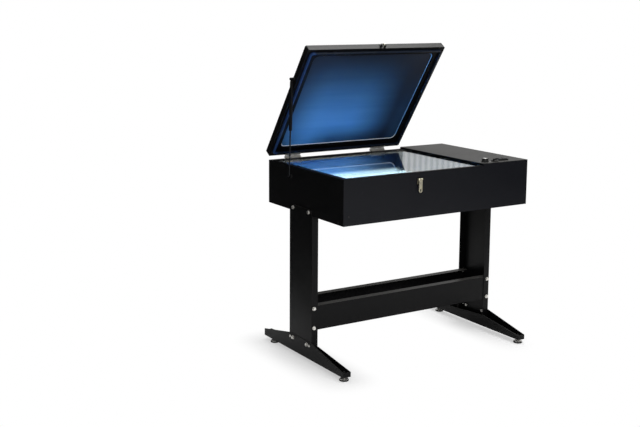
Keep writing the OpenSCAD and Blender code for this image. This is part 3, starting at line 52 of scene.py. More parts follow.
bpy.ops.object.select_all(action="DESELECT")
bpy.ops.object.camera_add(location=(-3.4046, -4.6603, 1.9142))
camera = bpy.context.object
camera.rotation_euler = (math.pi / 2 - view_down, view_roll, -view_turn)
camera.data.sensor_width = 36
camera.data.lens = 58.8
camera.data.shift_y = -0.068
bpy.context.scene.camera = camera


# Studio: a wide softbox above, one at the front left and weaker ones at the right and behind.
# They leave the black paint black and put soft pale edges on its folds.
def softbox(name, place, aim, size, power):
    bpy.ops.object.select_all(action="DESELECT")
    bpy.ops.object.light_add(type="AREA", location=place)
    lamp = bpy.context.object
    lamp.name = name
    lamp.data.shape = "RECTANGLE"
    lamp.data.size, lamp.data.size_y = size
    lamp.data.energy = power
    lamp.rotation_euler = (Vector(aim) - Vector(place)).to_track_quat("-Z", "Y").to_euler()


softbox("overhead", (0.7, -0.2, 4.2), (0.2, 0, 0.9), (3.2, 2.6), 160)
softbox("front_left", (-2.0, -4.6, 2.2), (-0.4, 0, 0.9), (1.4, 1.8), 46)
softbox("right_side", (4.4, 1.5, 2.6), (0, 0, 0.9), (2.0, 2.0), 16)
softbox("behind", (-0.6, 4.6, 3.4), (0, 0, 1.2), (3.0, 1.6), 40)
bpy.context.scene.view_settings.view_transform = "Standard"


# Floor: white seamless paper with a faint fibre, laid flat.
# It keeps the unit's soft shadow. Close to the two feet the camera sees the paper a little
# lifted, and further away as pure white.
class Wire:
    """One output of a node. Sums on wires add Math nodes."""

    def __init__(self, nodes, socket):
        self.nodes = nodes
        self.socket = socket

    def math(self, operation, *others):
        return self.nodes.node("ShaderNodeMath", {"operation": operation}, (self, *others))

    def math_after(self, operation, first):
        return self.nodes.node("ShaderNodeMath", {"operation": operation}, (first, self))

    def __add__(self, other):
        return self.math("ADD", other)

    def __radd__(self, other):
        return self.math_after("ADD", other)

    def __sub__(self, other):
        return self.math("SUBTRACT", other)

    def __rsub__(self, other):
        return self.math_after("SUBTRACT", other)

    def __mul__(self, other):
        return self.math("MULTIPLY", other)

    def __rmul__(self, other):
        return self.math_after("MULTIPLY", other)

    def __truediv__(self, other):
        return self.math("DIVIDE", other)

    def __rtruediv__(self, other):
        return self.math_after("DIVIDE", other)

    def __pow__(self, other):
        return self.math("POWER", other)

    def __rpow__(self, other):
        return self.math_after("POWER", other)

    def over(self, low, high):
        """0 below low, 1 above high and a soft step between them."""
        settings = {"interpolation_type": "SMOOTHSTEP"}
        return self.nodes.node("ShaderNodeMapRange", settings, {0: self, 1: low, 2: high})


class Nodes:
    """A node tree, and the one method that adds a node to it."""

    def __init__(self, tree):
        self.tree = tree

    def node(self, kind, settings, values, output=0):
        made = self.tree.nodes.new(kind)
        for setting, value in settings.items():
            setattr(made, setting, value)
        pairs = values.items() if isinstance(values, dict) else enumerate(values)
        for socket, value in pairs:
            if isinstance(value, Wire):
                self.tree.links.new(value.socket, made.inputs[socket])
            elif made.inputs[socket].type == "RGBA":
                made.inputs[socket].default_value = (*value, 1)
            else:
                made.inputs[socket].default_value = value
        return Wire(self, made.outputs[output])


class Finish(Nodes):
    """A Principled material with fixed values and a few wires that vary over the piece."""

    def __init__(self, name, colour, roughness, metallic=0.0, **fixed):
        self.material = bpy.data.materials.new(name)
        self.material.use_nodes = True
        super().__init__(self.material.node_tree)
        self.shader = self.tree.nodes["Principled BSDF"]
        self.shader.inputs["Base Color"].default_value = (*colour, 1)
        self.shader.inputs["Roughness"].default_value = roughness
        self.shader.inputs["Metallic"].default_value = metallic
        for socket, value in fixed.items():
            self.shader.inputs[socket.replace("_", " ")].default_value = value
        self.place = self.node("ShaderNodeTexCoord", {}, {}, "Object")

    def noise(self, scale, detail=2.0, roughness=0.5, place=None):
        return self.node("ShaderNodeTexNoise", {}, {
            "Vector": place or self.place, "Scale": scale,
            "Detail": detail, "Roughness": roughness})

    def mapped(self, scale=(1, 1, 1), shift=(0, 0, 0), turn=(0, 0, 0)):
        return self.node("ShaderNodeMapping", {}, {
            "Vector": self.place, "Location": shift, "Rotation": turn, "Scale": scale})

    def axis(self, letter):
        return self.node("ShaderNodeSeparateXYZ", {}, {0: self.place}, letter)

    def upward(self):
        """1 on faces that look up and 0 on the others."""
        facing = self.node("ShaderNodeTexCoord", {}, {}, "Normal")
        return self.node("ShaderNodeSeparateXYZ", {}, {0: facing}, "Z").over(0.6, 0.95)

    def blend(self, share, first, second):
        values = {0: share, 6: first, 7: second}
        return self.node("ShaderNodeMix", {"data_type": "RGBA"}, values, 2)

    def feed(self, socket, wire):
        self.tree.links.new(wire.socket, self.shader.inputs[socket])

    def bump(self, height, strength, distance):
        self.feed("Normal", self.node("ShaderNodeBump", {}, {
            "Height": height, "Strength": strength, "Distance": distance}))


column_x, foot_reach, near_lift = 0.6, 0.38, 0.46
paper = Finish("white_paper", (0.92, 0.92, 0.92), 0.95, Specular_IOR_Level=0.1)
fibre = paper.noise(60, 3)
paper.feed("Base Color", paper.blend(fibre, (0.91, 0.91, 0.91), (0.93, 0.93, 0.93)))
beside = paper.axis("X").math("ABSOLUTE") - column_x
beyond = (paper.axis("Y").math("ABSOLUTE") - foot_reach).math("MAXIMUM", 0.0)
from_feet = (beside ** 2 + beyond ** 2) ** 0.5
camera_ray = paper.node("ShaderNodeLightPath", {}, {}, "Is Camera Ray")
lift = camera_ray * (near_lift + (1 - near_lift) * from_feet.over(0.01, 0.22))
lit_paper = Wire(paper, paper.shader.outputs[0])
plain_white = paper.node("ShaderNodeEmission", {}, {"Color": (1, 1, 1), "Strength": 1.0})
lifted = paper.node("ShaderNodeMixShader", {}, {0: lift, 1: lit_paper, 2: plain_white})
paper.tree.links.new(lifted.socket, paper.tree.nodes["Material Output"].inputs["Surface"])

bpy.ops.object.select_all(action="DESELECT")
bpy.ops.mesh.primitive_plane_add(size=30, location=(0, 0, 0))
floor = bpy.context.object
floor.name = "studio_floor"
floor.data.materials.append(paper.material)


# Room: white walls far off. The camera and the glass see them as pure white, and the object is
# lit by them as by a dim room.
world = bpy.data.worlds.new("studio")
bpy.context.scene.world = world
world.use_nodes = True
room = Nodes(world.node_tree)
room.tree.nodes.remove(room.tree.nodes["Background"])
camera_ray = room.node("ShaderNodeLightPath", {}, {}, "Is Camera Ray")
glass_ray = room.node("ShaderNodeLightPath", {}, {}, "Is Transmission Ray")
dim_walls = room.node("ShaderNodeBackground", {}, {"Color": (1, 1, 1), "Strength": 0.42})
white_walls = room.node("ShaderNodeBackground", {}, {"Color": (1, 1, 1), "Strength": 1.0})
walls = room.node("ShaderNodeMixShader", {}, {
    0: camera_ray.math("MAXIMUM", glass_ray), 1: dim_walls, 2: white_walls})
room.tree.links.new(walls.socket, room.tree.nodes["World Output"].inputs["Surface"])


# Flags: dark cloths at the left, behind and at the front right keep the black paint black, and a
# slatted pale wall behind at the right is mirrored in the glass. Only reflections show them.
def flag(name, place, size, turn, low, high):
    """A card whose radiance swings between low and high along X, once in 84 mm."""
    bpy.ops.object.select_all(action="DESELECT")
    bpy.ops.mesh.primitive_plane_add(size=1, location=(0, 0, 0))
    card = bpy.context.object
    card.name = name
    card.scale = (*size, 1)
    card.rotation_euler = [math.radians(angle) for angle in turn]
    card.location = place
    bpy.ops.object.transform_apply(location=True, rotation=True, scale=True)
    for ray in ("visible_camera", "visible_diffuse", "visible_transmission", "visible_shadow"):
        setattr(card, ray, False)
    cloth = Finish(name, (0, 0, 0), 1.0, Specular_IOR_Level=0.0, Emission_Strength=1.0)
    slats = (cloth.axis("X") * 75).math("SINE") * 0.5 + 0.5
    cloth.feed("Emission Color", cloth.blend(slats, (low, low, low), (high, high, high)))
    card.data.materials.append(cloth.material)


flag("left_flag", (-3.0, 1.8, 1.5), (6.6, 3.0), (90, 0, 90), 0.01, 0.015)
flag("left_floor_flag", (-2.0, 1.5, 0.004), (2.0, 7.0), (0, 0, 0), 0.01, 0.015)
flag("rear_flag", (0.37, 5.0, 1.5), (6.74, 3.0), (90, 0, 0), 0.02, 0.03)
flag("front_right_flag", (2.75, -2.1, 1.2), (3.1, 2.4), (90, 0, 84), 0.004, 0.008)
flag("slatted_wall", (6.4, 5.0, 1.75), (5.3, 3.5), (90, 0, 0), 0.44, 0.66)


# Levelling feet: a moulded rubber pad, a zinc plated disc and hexagon over it, and a blackened
# stud that screws up into the foot. All four are alike, so one is modelled and copied.
crease = math.radians(35)


def turned(name, rings, sides=48):
    """A turned piece on the Z axis from its (radius, height) rings, lowest first."""
    bpy.ops.object.select_all(action="DESELECT")
    bpy.ops.mesh.primitive_circle_add(
        vertices=sides, radius=rings[0][0], fill_type="NGON", location=(0, 0, rings[0][1]))
    piece = bpy.context.object
    piece.name = name
    bpy.ops.object.mode_set(mode="EDIT")
    bpy.ops.mesh.select_all(action="SELECT")
    for (was, low), (now, high) in zip(rings, rings[1:]):
        bpy.ops.mesh.extrude_region_move(TRANSFORM_OT_translate={"value": (0, 0, high - low)})
        if now != was:
            bpy.ops.transform.resize(value=(now / was, now / was, 1))
    bpy.ops.mesh.select_all(action="SELECT")
    bpy.ops.mesh.normals_make_consistent(inside=False)
    bpy.ops.object.mode_set(mode="OBJECT")
    bpy.ops.object.shade_smooth_by_angle(angle=crease)
    return piece


def settle(piece, place=(0, 0, 0), axis=(0, 0, 1)):
    """Points a piece's Z along axis, moves it to its place and applies both."""
    bpy.ops.object.select_all(action="DESELECT")
    piece.select_set(True)
    bpy.context.view_layer.objects.active = piece
    piece.rotation_mode = "QUATERNION"
    piece.rotation_quaternion = Vector((0, 0, 1)).rotation_difference(Vector(axis))
    bpy.ops.object.transform_apply(location=False, rotation=True, scale=True)
    piece.location = Vector(place)
    bpy.ops.object.transform_apply(location=True, rotation=True, scale=True)


def copied(piece, name, shift):
    twin = piece.copy()
    twin.data = piece.data.copy()
    twin.name = name
    bpy.context.collection.objects.link(twin)
    settle(twin, shift)
    return twin


def threaded(root, crest, low, high, pitch):
    """Rings of a screw thread, drawn as close grooves from low to high."""
    rings = []
    for i in range(int((high - low) / pitch)):
        rings += [(crest, low + (i + 0.3) * pitch), (root, low + (i + 0.8) * pitch)]
    return rings + [(root, high)]


def joined(name, *pieces):
    bpy.ops.object.select_all(action="DESELECT")
    for piece in pieces:
        piece.select_set(True)
    bpy.context.view_layer.objects.active = pieces[0]
    bpy.ops.object.join()
    pieces[0].name = name
    return pieces[0]


def wear(piece, finish):
    piece.data.materials.clear()
    piece.data.materials.append(finish.material)


rubber = Finish("black_rubber", (0.016, 0.016, 0.016), 0.6, Specular_IOR_Level=0.3)
dust = rubber.noise(45, 5, 0.6)
settled = rubber.upward() * dust.over(0.35, 0.75)
rubber.feed("Base Color", rubber.blend(
    settled * 0.6, (0.013, 0.013, 0.013), (0.05, 0.049, 0.046)))
rubber.feed("Roughness", 0.5 + dust * 0.2 + settled * 0.15)
rubber.bump(rubber.noise(1400, 2), 0.25, 0.0003)

zinc = Finish("zinc_plate", (0.6, 0.58, 0.52), 0.3, 1.0)
bloom = zinc.noise(70, 4)
spangle = zinc.node("ShaderNodeTexVoronoi", {}, {"Vector": zinc.place, "Scale": 260.0}, "Color")
flake = zinc.node("ShaderNodeSeparateColor", {}, {0: spangle})
tarnish = bloom.over(0.5, 0.8)
zinc.feed("Base Color", zinc.blend(tarnish * 0.7, (0.66, 0.65, 0.62), (0.46, 0.43, 0.36)))
zinc.feed("Roughness", 0.2 + bloom * 0.18 + flake * 0.08)
zinc.bump(zinc.noise(800, 3), 0.15, 0.0002)

oxide = Finish("black_oxide", (0.014, 0.014, 0.015), 0.4, 0.5)
oiled = oxide.noise(500, 3)
oxide.feed("Base Color", oxide.blend(oiled, (0.01, 0.01, 0.011), (0.02, 0.02, 0.021)))
oxide.feed("Roughness", 0.35 + oiled * 0.2)
oxide.bump(oiled, 0.1, 0.0001)

pad_r, pad_h, disc_r, disc_top = 0.025, 0.009, 0.022, 0.012
hex_r, hex_top, stud_r, stud_end_r = 0.009, 0.017, 0.005, 0.0035
thread_depth, thread_pitch = 0.0007, 0.0015
stud_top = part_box("levelling_foot_front_left")[1].z
pad = turned("pad", [
    (pad_r - 0.003, 0), (pad_r - 0.001, 0.0008), (pad_r, 0.0025), (pad_r, pad_h - 0.003),
    (pad_r - 0.0008, pad_h - 0.0012), (pad_r - 0.0025, pad_h)])
wear(pad, rubber)
disc = turned("disc", [
    (disc_r - 0.0004, pad_h), (disc_r, pad_h + 0.0004), (disc_r, disc_top - 0.0008),
    (disc_r - 0.0008, disc_top), (hex_r + 0.002, disc_top), (hex_r + 0.001, disc_top + 0.0006)])
wear(disc, zinc)
hexagon = turned("hexagon", [
    (hex_r - 0.0006, disc_top), (hex_r, disc_top + 0.0005), (hex_r, hex_top - 0.0006),
    (hex_r - 0.0008, hex_top)], 6)
wear(hexagon, zinc)
thread = threaded(stud_r - thread_depth, stud_r, hex_top, stud_top - 0.001, thread_pitch)
stud = turned("stud", [(stud_r, hex_top - 0.001), *thread, (stud_end_r, stud_top)], 24)
wear(stud, oxide)
model_foot = joined("levelling_foot", pad, disc, hexagon, stud)

for corner in ("front_left", "rear_left", "front_right", "rear_right"):
    low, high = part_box("levelling_foot_" + corner)
    spot = (low + high) / 2
    foot = copied(model_foot, "pad_" + corner, (spot.x, spot.y, low.z))
    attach(foot, "levelling_foot_" + corner)
    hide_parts("levelling_foot_" + corner)
bpy.data.objects.remove(model_foot)


# Stand: two folded columns, two folded stretchers and two tapered feet, cut from sheet steel,
# bent, bolted together and powder coated in satin black. The stretchers' flanges carry dust and a
# painted highlight on the faces that look up.
def merged(node, name):
    """A copy of a CAD node's mesh with its loose triangles joined into flat faces."""
    piece = bpy.data.objects.new(name, frame["nodes"][node].data.copy())
    bpy.context.collection.objects.link(piece)
    bpy.ops.object.select_all(action="DESELECT")
    piece.select_set(True)
    bpy.context.view_layer.objects.active = piece
    bpy.ops.object.mode_set(mode="EDIT")
    bpy.ops.mesh.select_all(action="SELECT")
    bpy.ops.mesh.remove_doubles(threshold=0.00001)
    bpy.ops.mesh.dissolve_limited(angle_limit=math.radians(1))
    bpy.ops.object.mode_set(mode="OBJECT")
    return piece


def eased(piece, width, segments=2):
    """Rounds a piece's sharp edges by width."""
    bpy.context.view_layer.objects.active = piece
    bpy.ops.object.shade_smooth_by_angle(angle=crease)
    edge = piece.modifiers.new("edges", "BEVEL")
    edge.width = width
    edge.segments = segments
    edge.limit_method = "ANGLE"
    edge.angle_limit = math.radians(40)
    edge.use_clamp_overlap = True
    edge.harden_normals = True
    bpy.ops.object.modifier_apply(modifier="edges")
    return piece


def fitted(node, body, finish, width, segments=2):
    """The finished piece that stands for one CAD node, its edges eased by width."""
    piece = eased(merged(node, node + "_finished"), width, segments)
    wear(piece, finish)
    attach(piece, body)
    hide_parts(node)
    return piece


def powder_coat(name, dark, pale, rough, specular, dusty=0.46):
    """Orange peel, faint clouds, a few scuffs, and a pale tone on the faces that look up: part
    dust, part painted sheen.
    """
    finish = Finish(name, dark, rough, Specular_IOR_Level=specular)
    peel = finish.noise(750, 2)
    cloud = finish.noise(4, 4)
    drawn_out = finish.mapped((1, 7, 1), turn=(0.3, 0.2, 0.5))
    scuff = finish.noise(35, 6, 0.65, drawn_out).over(0.66, 0.74)
    # Painted sheen: faces that look up are blended towards pale grey, partly dust and partly the
    # bright room's reflection on the satin black.
    settled = finish.upward() * (0.55 + 0.35 * finish.noise(60, 4).over(0.35, 0.8))
    base = finish.blend(cloud, dark, pale)
    scuffed = finish.blend(scuff * 0.25, base, (0.03, 0.03, 0.031))
    finish.feed("Base Color", finish.blend(settled * dusty, scuffed, (0.10, 0.098, 0.092)))
    finish.feed("Roughness", rough - 0.05 + cloud * 0.1 + peel * 0.05 + scuff * 0.08)
    finish.bump(peel, 0.12, 0.0004)
    return finish


sheet_edge, fine_edge = 0.0009, 0.0004
satin_black = (0.0022, 0.0022, 0.0026), (0.0036, 0.0036, 0.004), 0.36, 0.13
black_coat = powder_coat("black_powder_coat", *satin_black)
# The stretchers' coat blends much further towards pale grey: dust and a painted highlight along
# their flanges.
dust_and_highlight_coat = powder_coat("dust_and_highlight_powder_coat", *satin_black, dusty=1.6)
for node in ("left_column", "right_column", "left_foot", "right_foot"):
    fitted(node, "cabinet", black_coat, sheet_edge)
for node in ("front_stretcher", "rear_stretcher"):
    fitted(node, "cabinet", dust_and_highlight_coat, sheet_edge)

nickel = Finish("bright_bolts", (0.85, 0.84, 0.8), 0.42, 1.0)
handled = nickel.noise(240, 3)
nickel.feed("Base Color", nickel.blend(handled, (0.92, 0.91, 0.88), (0.72, 0.7, 0.65)))
nickel.feed("Roughness", 0.38 + handled * 0.2)
nickel.bump(handled, 0.15, 0.0002)
for node in ("foot_bolts", "foot_screws", "frame_bolts", "frame_nuts"):
    fitted(node, "cabinet", nickel, fine_edge)


# Cabinet: a folded 2 mm steel shell, a front panel and a rim round the glass, screwed together
# and powder coated. The front panel is a little glossier than the rest, the rim is duller.
panel_coat = powder_coat(
    "panel_powder_coat", (0.0045, 0.005, 0.0075), (0.006, 0.0065, 0.009), 0.32, 0.18)
panel_edge = 0.0008
fitted("front_panel", "cabinet", panel_coat, panel_edge)
for node in ("cabinet_shell", "glass_ledge", "control_deck"):
    fitted(node, "cabinet", black_coat, panel_edge)
rim_coat = powder_coat(
    "rim_powder_coat", (0.0022, 0.0022, 0.0028), (0.0036, 0.0036, 0.0045), 0.42, 0.06, 0.04)
fitted("top_frame", "cabinet", rim_coat, panel_edge)

screw_coat = powder_coat(
    "blackened_screws", (0.01, 0.01, 0.01), (0.02, 0.02, 0.02), 0.4, 0.3)
fitted("cabinet_screws", "cabinet", screw_coat, fine_edge)


# Glass: a 10 mm sheet of clear float glass with ground and polished edges, laid on a soft rubber
# strip. A faint film of wiped marks is left on it.
glass = Finish("float_glass", (0.86, 0.95, 0.93), 0.02, IOR=1.52, Transmission_Weight=1.0)
wiped = glass.noise(5, 4, 0.6, glass.mapped((1, 4, 1), turn=(0, 0, 0.5)))
glass.feed("Roughness", 0.012 + wiped.over(0.5, 0.9) * 0.05)
fitted("exposure_glass", "cabinet", glass, 0.0012, 3)
fitted("glass_gasket", "cabinet", rubber, 0.0006)


# Light box: a folded reflector coloured pale blue, tube holders on two rails and ballasts on the
# floor.
# The tubes are lit. The rear ones and a painted glow on the reflector's foot behind them are seen
# through the glass as a white band, and the reflector darkens in painted shade towards the
# divider.
enamel = Finish("pale_blue_reflector_painted_glow", (0.22, 0.45, 0.8), 0.3, Emission_Strength=2.0)
aged = enamel.noise(7, 4)
# Painted shade: the reflector's blue darkens to near black towards the divider.
shaded = enamel.axis("X").over(-0.2, 0.22)
unshaded_blue = enamel.blend(aged.over(0.3, 0.8), (0.2, 0.44, 0.82), (0.28, 0.5, 0.8))
enamel.feed("Base Color", enamel.blend(shaded, unshaded_blue, (0.015, 0.035, 0.09)))
# Painted glow: the reflector's foot behind the rear tubes emits pale light, though it is no lamp.
at_rear = enamel.axis("Y").over(0.24, 0.27)
wall_foot = 1 - enamel.axis("Z").over(0.922, 0.943)
painted_glow_wall = at_rear * wall_foot * (1 - enamel.axis("X").over(0.2, 0.27))
enamel.feed("Emission Color", enamel.blend(painted_glow_wall, (0, 0, 0), (0.7, 0.9, 1.0)))
enamel.feed("Roughness", 0.25 + aged * 0.15)
enamel.bump(enamel.noise(500, 2), 0.08, 0.0003)
for node in ("reflector_tray", "lamp_rails", "lamp_holders"):
    fitted(node, "cabinet", enamel, fine_edge)
fitted("divider_panel", "cabinet", black_coat, fine_edge)

aluminium = Finish("aluminium", (0.62, 0.62, 0.63), 0.35, 1.0)
brushed = aluminium.noise(90, 4, 0.6, aluminium.mapped((1, 12, 12)))
aluminium.feed("Base Color", aluminium.blend(brushed, (0.52, 0.52, 0.53), (0.68, 0.68, 0.69)))
aluminium.feed("Roughness", 0.25 + brushed * 0.25)
aluminium.bump(brushed, 0.1, 0.0002)
for node in ("lamp_caps", "ballasts"):
    fitted(node, "cabinet", aluminium, 0.0005)

tube_low, tube_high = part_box("lamp_tubes")
tube_count = 10
tube_r = (tube_high.z - tube_low.z) / 2
tube_l = tube_high.x - tube_low.x
tube_pitch = (tube_high.y - tube_low.y - 2 * tube_r) / (tube_count - 1)
phosphor = Finish("lit_tube", (0.8, 0.86, 0.92), 0.25, Emission_Strength=3.6)
along = phosphor.axis("X")
rear_tubes = phosphor.axis("Y").over(tube_high.y - 0.3, tube_high.y - 0.2)
fading = along.over(tube_high.x - 0.5, tube_high.x - 0.05) * (1 - rear_tubes)
lit = along.over(tube_low.x + 0.01, tube_low.x + 0.06) * (1 - fading)
glow = phosphor.blend(rear_tubes, (0.07, 0.3, 1.0), (0.45, 0.58, 0.66))
phosphor.feed("Emission Color", phosphor.blend(lit, (0.02, 0.03, 0.05), glow))
powder = phosphor.noise(300, 3)
phosphor.feed("Roughness", 0.2 + powder * 0.12)

end_r, shoulder_r, shoulder = tube_r * 0.72, tube_r * 0.94, 0.0012
first_tube = turned("tube", [
    (end_r, 0), (shoulder_r, shoulder), (tube_r, 0.004), (tube_r, tube_l - 0.004),
    (shoulder_r, tube_l - shoulder), (end_r, tube_l)], 24)
wear(first_tube, phosphor)
settle(first_tube, axis=(1, 0, 0))
tubes = []
for i in range(tube_count):
    tubes.append(copied(first_tube, "tube", (
        tube_low.x, tube_low.y + tube_r + i * tube_pitch, tube_low.z + tube_r)))
bpy.data.objects.remove(first_tube)
lamp_tubes = joined("lamp_tubes_finished", *tubes)
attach(lamp_tubes, "cabinet")
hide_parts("lamp_tubes")


# Controls: a fluted timer knob, a pointer knob, and two rocker switches in one bezel, all moulded
# in black plastic and pushed on or snapped in from above.
plastic = Finish("black_plastic", (0.012, 0.012, 0.012), 0.4, Specular_IOR_Level=0.4)
handled = plastic.noise(80, 3)
plastic.feed("Base Color", plastic.blend(handled, (0.009, 0.009, 0.009), (0.017, 0.017, 0.017)))
plastic.feed("Roughness", 0.3 + handled * 0.2)
plastic.bump(plastic.noise(2200, 2), 0.2, 0.0002)

fitted("timer_knob", "timer_knob", plastic, 0.0005)
fitted("selector_knob", "selector_knob", plastic, 0.0005)
fitted("switch_bezel", "cabinet", plastic, 0.0008)
fitted("power_rocker", "power_rocker", plastic, fine_edge)
fitted("vacuum_rocker", "vacuum_rocker", plastic, fine_edge)
for node in ("timer_body", "selector_body"):
    fitted(node, "cabinet", plastic, fine_edge)


# Timer dial: a spun aluminium cap pressed into the knob's top, a white pointer line on it, and
# eleven white ticks printed on the deck, 30 degrees apart.
knob_top_r, cap_gap, cap_h, cap_dish_h = 0.018, 0.0045, 0.0007, 0.0004
timer_low, timer_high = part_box("timer_knob")
timer_x, timer_y = (timer_low.x + timer_high.x) / 2, (timer_low.y + timer_high.y) / 2
deck_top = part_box("control_deck")[1].z

spun = Finish("spun_cap", (0.7, 0.7, 0.68), 0.3, 1.0)
centred = spun.mapped(shift=(-timer_x, -timer_y, 0))
level = spun.node("ShaderNodeVectorMath", {"operation": "MULTIPLY"}, {0: centred, 1: (1, 1, 0)})
radius = spun.node("ShaderNodeVectorMath", {"operation": "LENGTH"}, {0: level}, "Value")
rings = (radius * 9000).math("SINE")
spun.feed("Roughness", 0.28 + rings * 0.06)
spun.feed("Base Color", spun.blend(rings * 0.5 + 0.5, (0.62, 0.62, 0.6), (0.72, 0.72, 0.7)))
spun.bump(rings, 0.1, 0.0001)

cap_r = knob_top_r - cap_gap
cap = turned("timer_knob_cap", [
    (cap_r, 0), (cap_r, cap_dish_h), (cap_r - 0.0004, cap_h), (cap_r - 0.003, cap_h),
    (cap_r - 0.0036, cap_dish_h), (0.001, cap_dish_h)])
settle(cap, (timer_x, timer_y, timer_high.z - 0.0002))
wear(cap, spun)
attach(cap, "timer_knob")

print_white = Finish("white_print", (0.75, 0.75, 0.73), 0.5)
rubbed = print_white.noise(900, 3)
print_white.feed("Base Color", print_white.blend(
    rubbed.over(0.5, 0.7), (0.75, 0.75, 0.73), (0.45, 0.45, 0.44)))
print_white.bump(rubbed, 0.1, 0.0001)


def mark(name, size, place, turn):
    """A thin printed bar, its long side outward from the dial's middle."""
    bpy.ops.object.select_all(action="DESELECT")
    bpy.ops.mesh.primitive_cube_add(size=1, location=place, rotation=(0, 0, turn), scale=size)
    bar = bpy.context.object
    bar.name = name
    bpy.ops.object.transform_apply(location=True, rotation=True, scale=True)
    bpy.ops.object.mode_set(mode="EDIT")
    bpy.ops.mesh.select_all(action="SELECT")
    bpy.ops.mesh.bevel(offset=min(size) * 0.2, segments=1, affect="EDGES")
    bpy.ops.object.mode_set(mode="OBJECT")
    wear(bar, print_white)
    return bar


tick_count, tick_step, tick_r, tick_w, tick_h = 11, math.radians(30), 0.0265, 0.0009, 0.0002
long_tick, short_tick = 0.005, 0.003
quarter_turn = math.radians(90)
ticks = []
for i in range(tick_count):
    angle = quarter_turn - i * tick_step
    length = long_tick if i % 5 == 0 else short_tick
    middle = tick_r + length / 2
    place = (timer_x + middle * math.cos(angle), timer_y + middle * math.sin(angle),
             deck_top + tick_h / 2)
    ticks.append(mark("tick", (length, tick_w, tick_h), place, angle))
dial = joined("timer_dial_ticks", *ticks)
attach(dial, "cabinet")

pointer_l, pointer_w, pointer_h = 0.010, 0.0014, 0.0004
pointer_y = timer_y + knob_top_r - 0.0065
pointer = mark("timer_pointer", (pointer_l, pointer_w, pointer_h),
               (timer_x, pointer_y, timer_high.z + pointer_h), quarter_turn)
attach(pointer, "timer_knob")


# Supply and cooling: an appliance inlet, a terminal block, and a fan behind wire rings at the
# back. The fan's frame and blades are moulded in black plastic and its guard is zinc plated wire.
fitted("power_inlet", "cabinet", plastic, fine_edge)
fitted("terminal_block", "cabinet", print_white, fine_edge)
fitted("fan_housing", "cabinet", plastic, 0.0005)
fitted("fan_rotor", "fan_rotor", plastic, fine_edge)
fitted("fan_grille", "cabinet", zinc, 0.0003)


# Vacuum: a small diaphragm pump under the deck, a rubber hose across the cabinet's back and a
# brass port in the rear rim. The pump is cast aluminium with hammered grey enamel.
hammered = Finish("hammered_enamel", (0.3, 0.31, 0.32), 0.35, 0.3)
beaten = hammered.node("ShaderNodeTexVoronoi", {"feature": "SMOOTH_F1"}, {
    "Vector": hammered.place, "Scale": 320.0})
hammered.feed("Base Color", hammered.blend(beaten, (0.2, 0.21, 0.22), (0.34, 0.35, 0.36)))
hammered.feed("Roughness", 0.25 + beaten * 0.3)
hammered.bump(beaten, 0.35, 0.0006)
fitted("vacuum_pump", "cabinet", hammered, 0.0012)
fitted("vacuum_hose", "cabinet", rubber, 0.0005)

brass = Finish("brass", (0.6, 0.42, 0.18), 0.3, 1.0)
patina = brass.noise(120, 4)
brass.feed("Base Color", brass.blend(
    patina.over(0.4, 0.75), (0.62, 0.43, 0.18), (0.32, 0.2, 0.09)))
brass.feed("Roughness", 0.2 + patina * 0.25)
brass.bump(brass.noise(900, 2), 0.1, 0.0002)
fitted("vacuum_port", "cabinet", brass, fine_edge)


# Lid: a folded steel skin with an inner frame, both powder coated, and a bulb seal round the face
# that closes on the glass. The seal's left run is painted blue as a reflection of the tubes' glow.
fitted("lid_skin", "lid", black_coat, 0.001)
fitted("lid_frame", "lid", rim_coat, 0.001)
sealing = Finish("bulb_seal", (0.008, 0.012, 0.02), 0.2, Specular_IOR_Level=0.15)
handled = sealing.noise(30, 3)
unlit = sealing.blend(handled, (0.004, 0.007, 0.014), (0.009, 0.014, 0.026))
# Painted reflection: the seal's left run is coloured blue for the tubes' light on it.
left_run = 1 - sealing.axis("X").over(-0.57, -0.55)
sealing.feed("Base Color", sealing.blend(left_run, unlit, (0.014, 0.036, 0.11)))
sealing.feed("Roughness", 0.16 + handled * 0.12)
sealing.bump(sealing.noise(700, 2), 0.08, 0.0002)
fitted("lid_seal", "lid", sealing, 0.0022, 4)
fitted("blanket_retainer", "lid", black_coat, 0.0006)


# Blanket: smooth blue rubber sheet, 3 mm thick, clamped all round under the retainer bars. It sags
# a few millimetres in the middle, is painted lighter low down on the left where the lamps' light
# falls on it through the glass and darker elsewhere, and screen frames have left a faint outline.
lid_joint = next(joint for joint in frame["joints"] if joint["name"] == "lid_hinge")
hinge_point = Vector(lid_joint["pos_m"])
lid_open = math.radians(55)
up_lid = Vector((0, -math.cos(lid_open), math.sin(lid_open)))
out_lid = Vector((0, -math.sin(lid_open), -math.cos(lid_open)))


def lid_spread(node):
    """Least and greatest place of a node along X, up the open lid and out of its inner face."""
    places = [vertex.co - hinge_point for vertex in frame["nodes"][node].data.vertices]
    spans = [[at.dot(way) for at in places] for way in (Vector((1, 0, 0)), up_lid, out_lid)]
    return [(min(span), max(span)) for span in spans]


def lid_set(piece, x, up, out):
    """Lays a piece that was made flat at the origin into the open lid and applies its place."""
    piece.rotation_euler = (math.atan2(up_lid.z, up_lid.y), 0, 0)
    piece.location = hinge_point + Vector((x, 0, 0)) + up_lid * up + out_lid * out
    bpy.ops.object.transform_apply(location=True, rotation=True, scale=True)


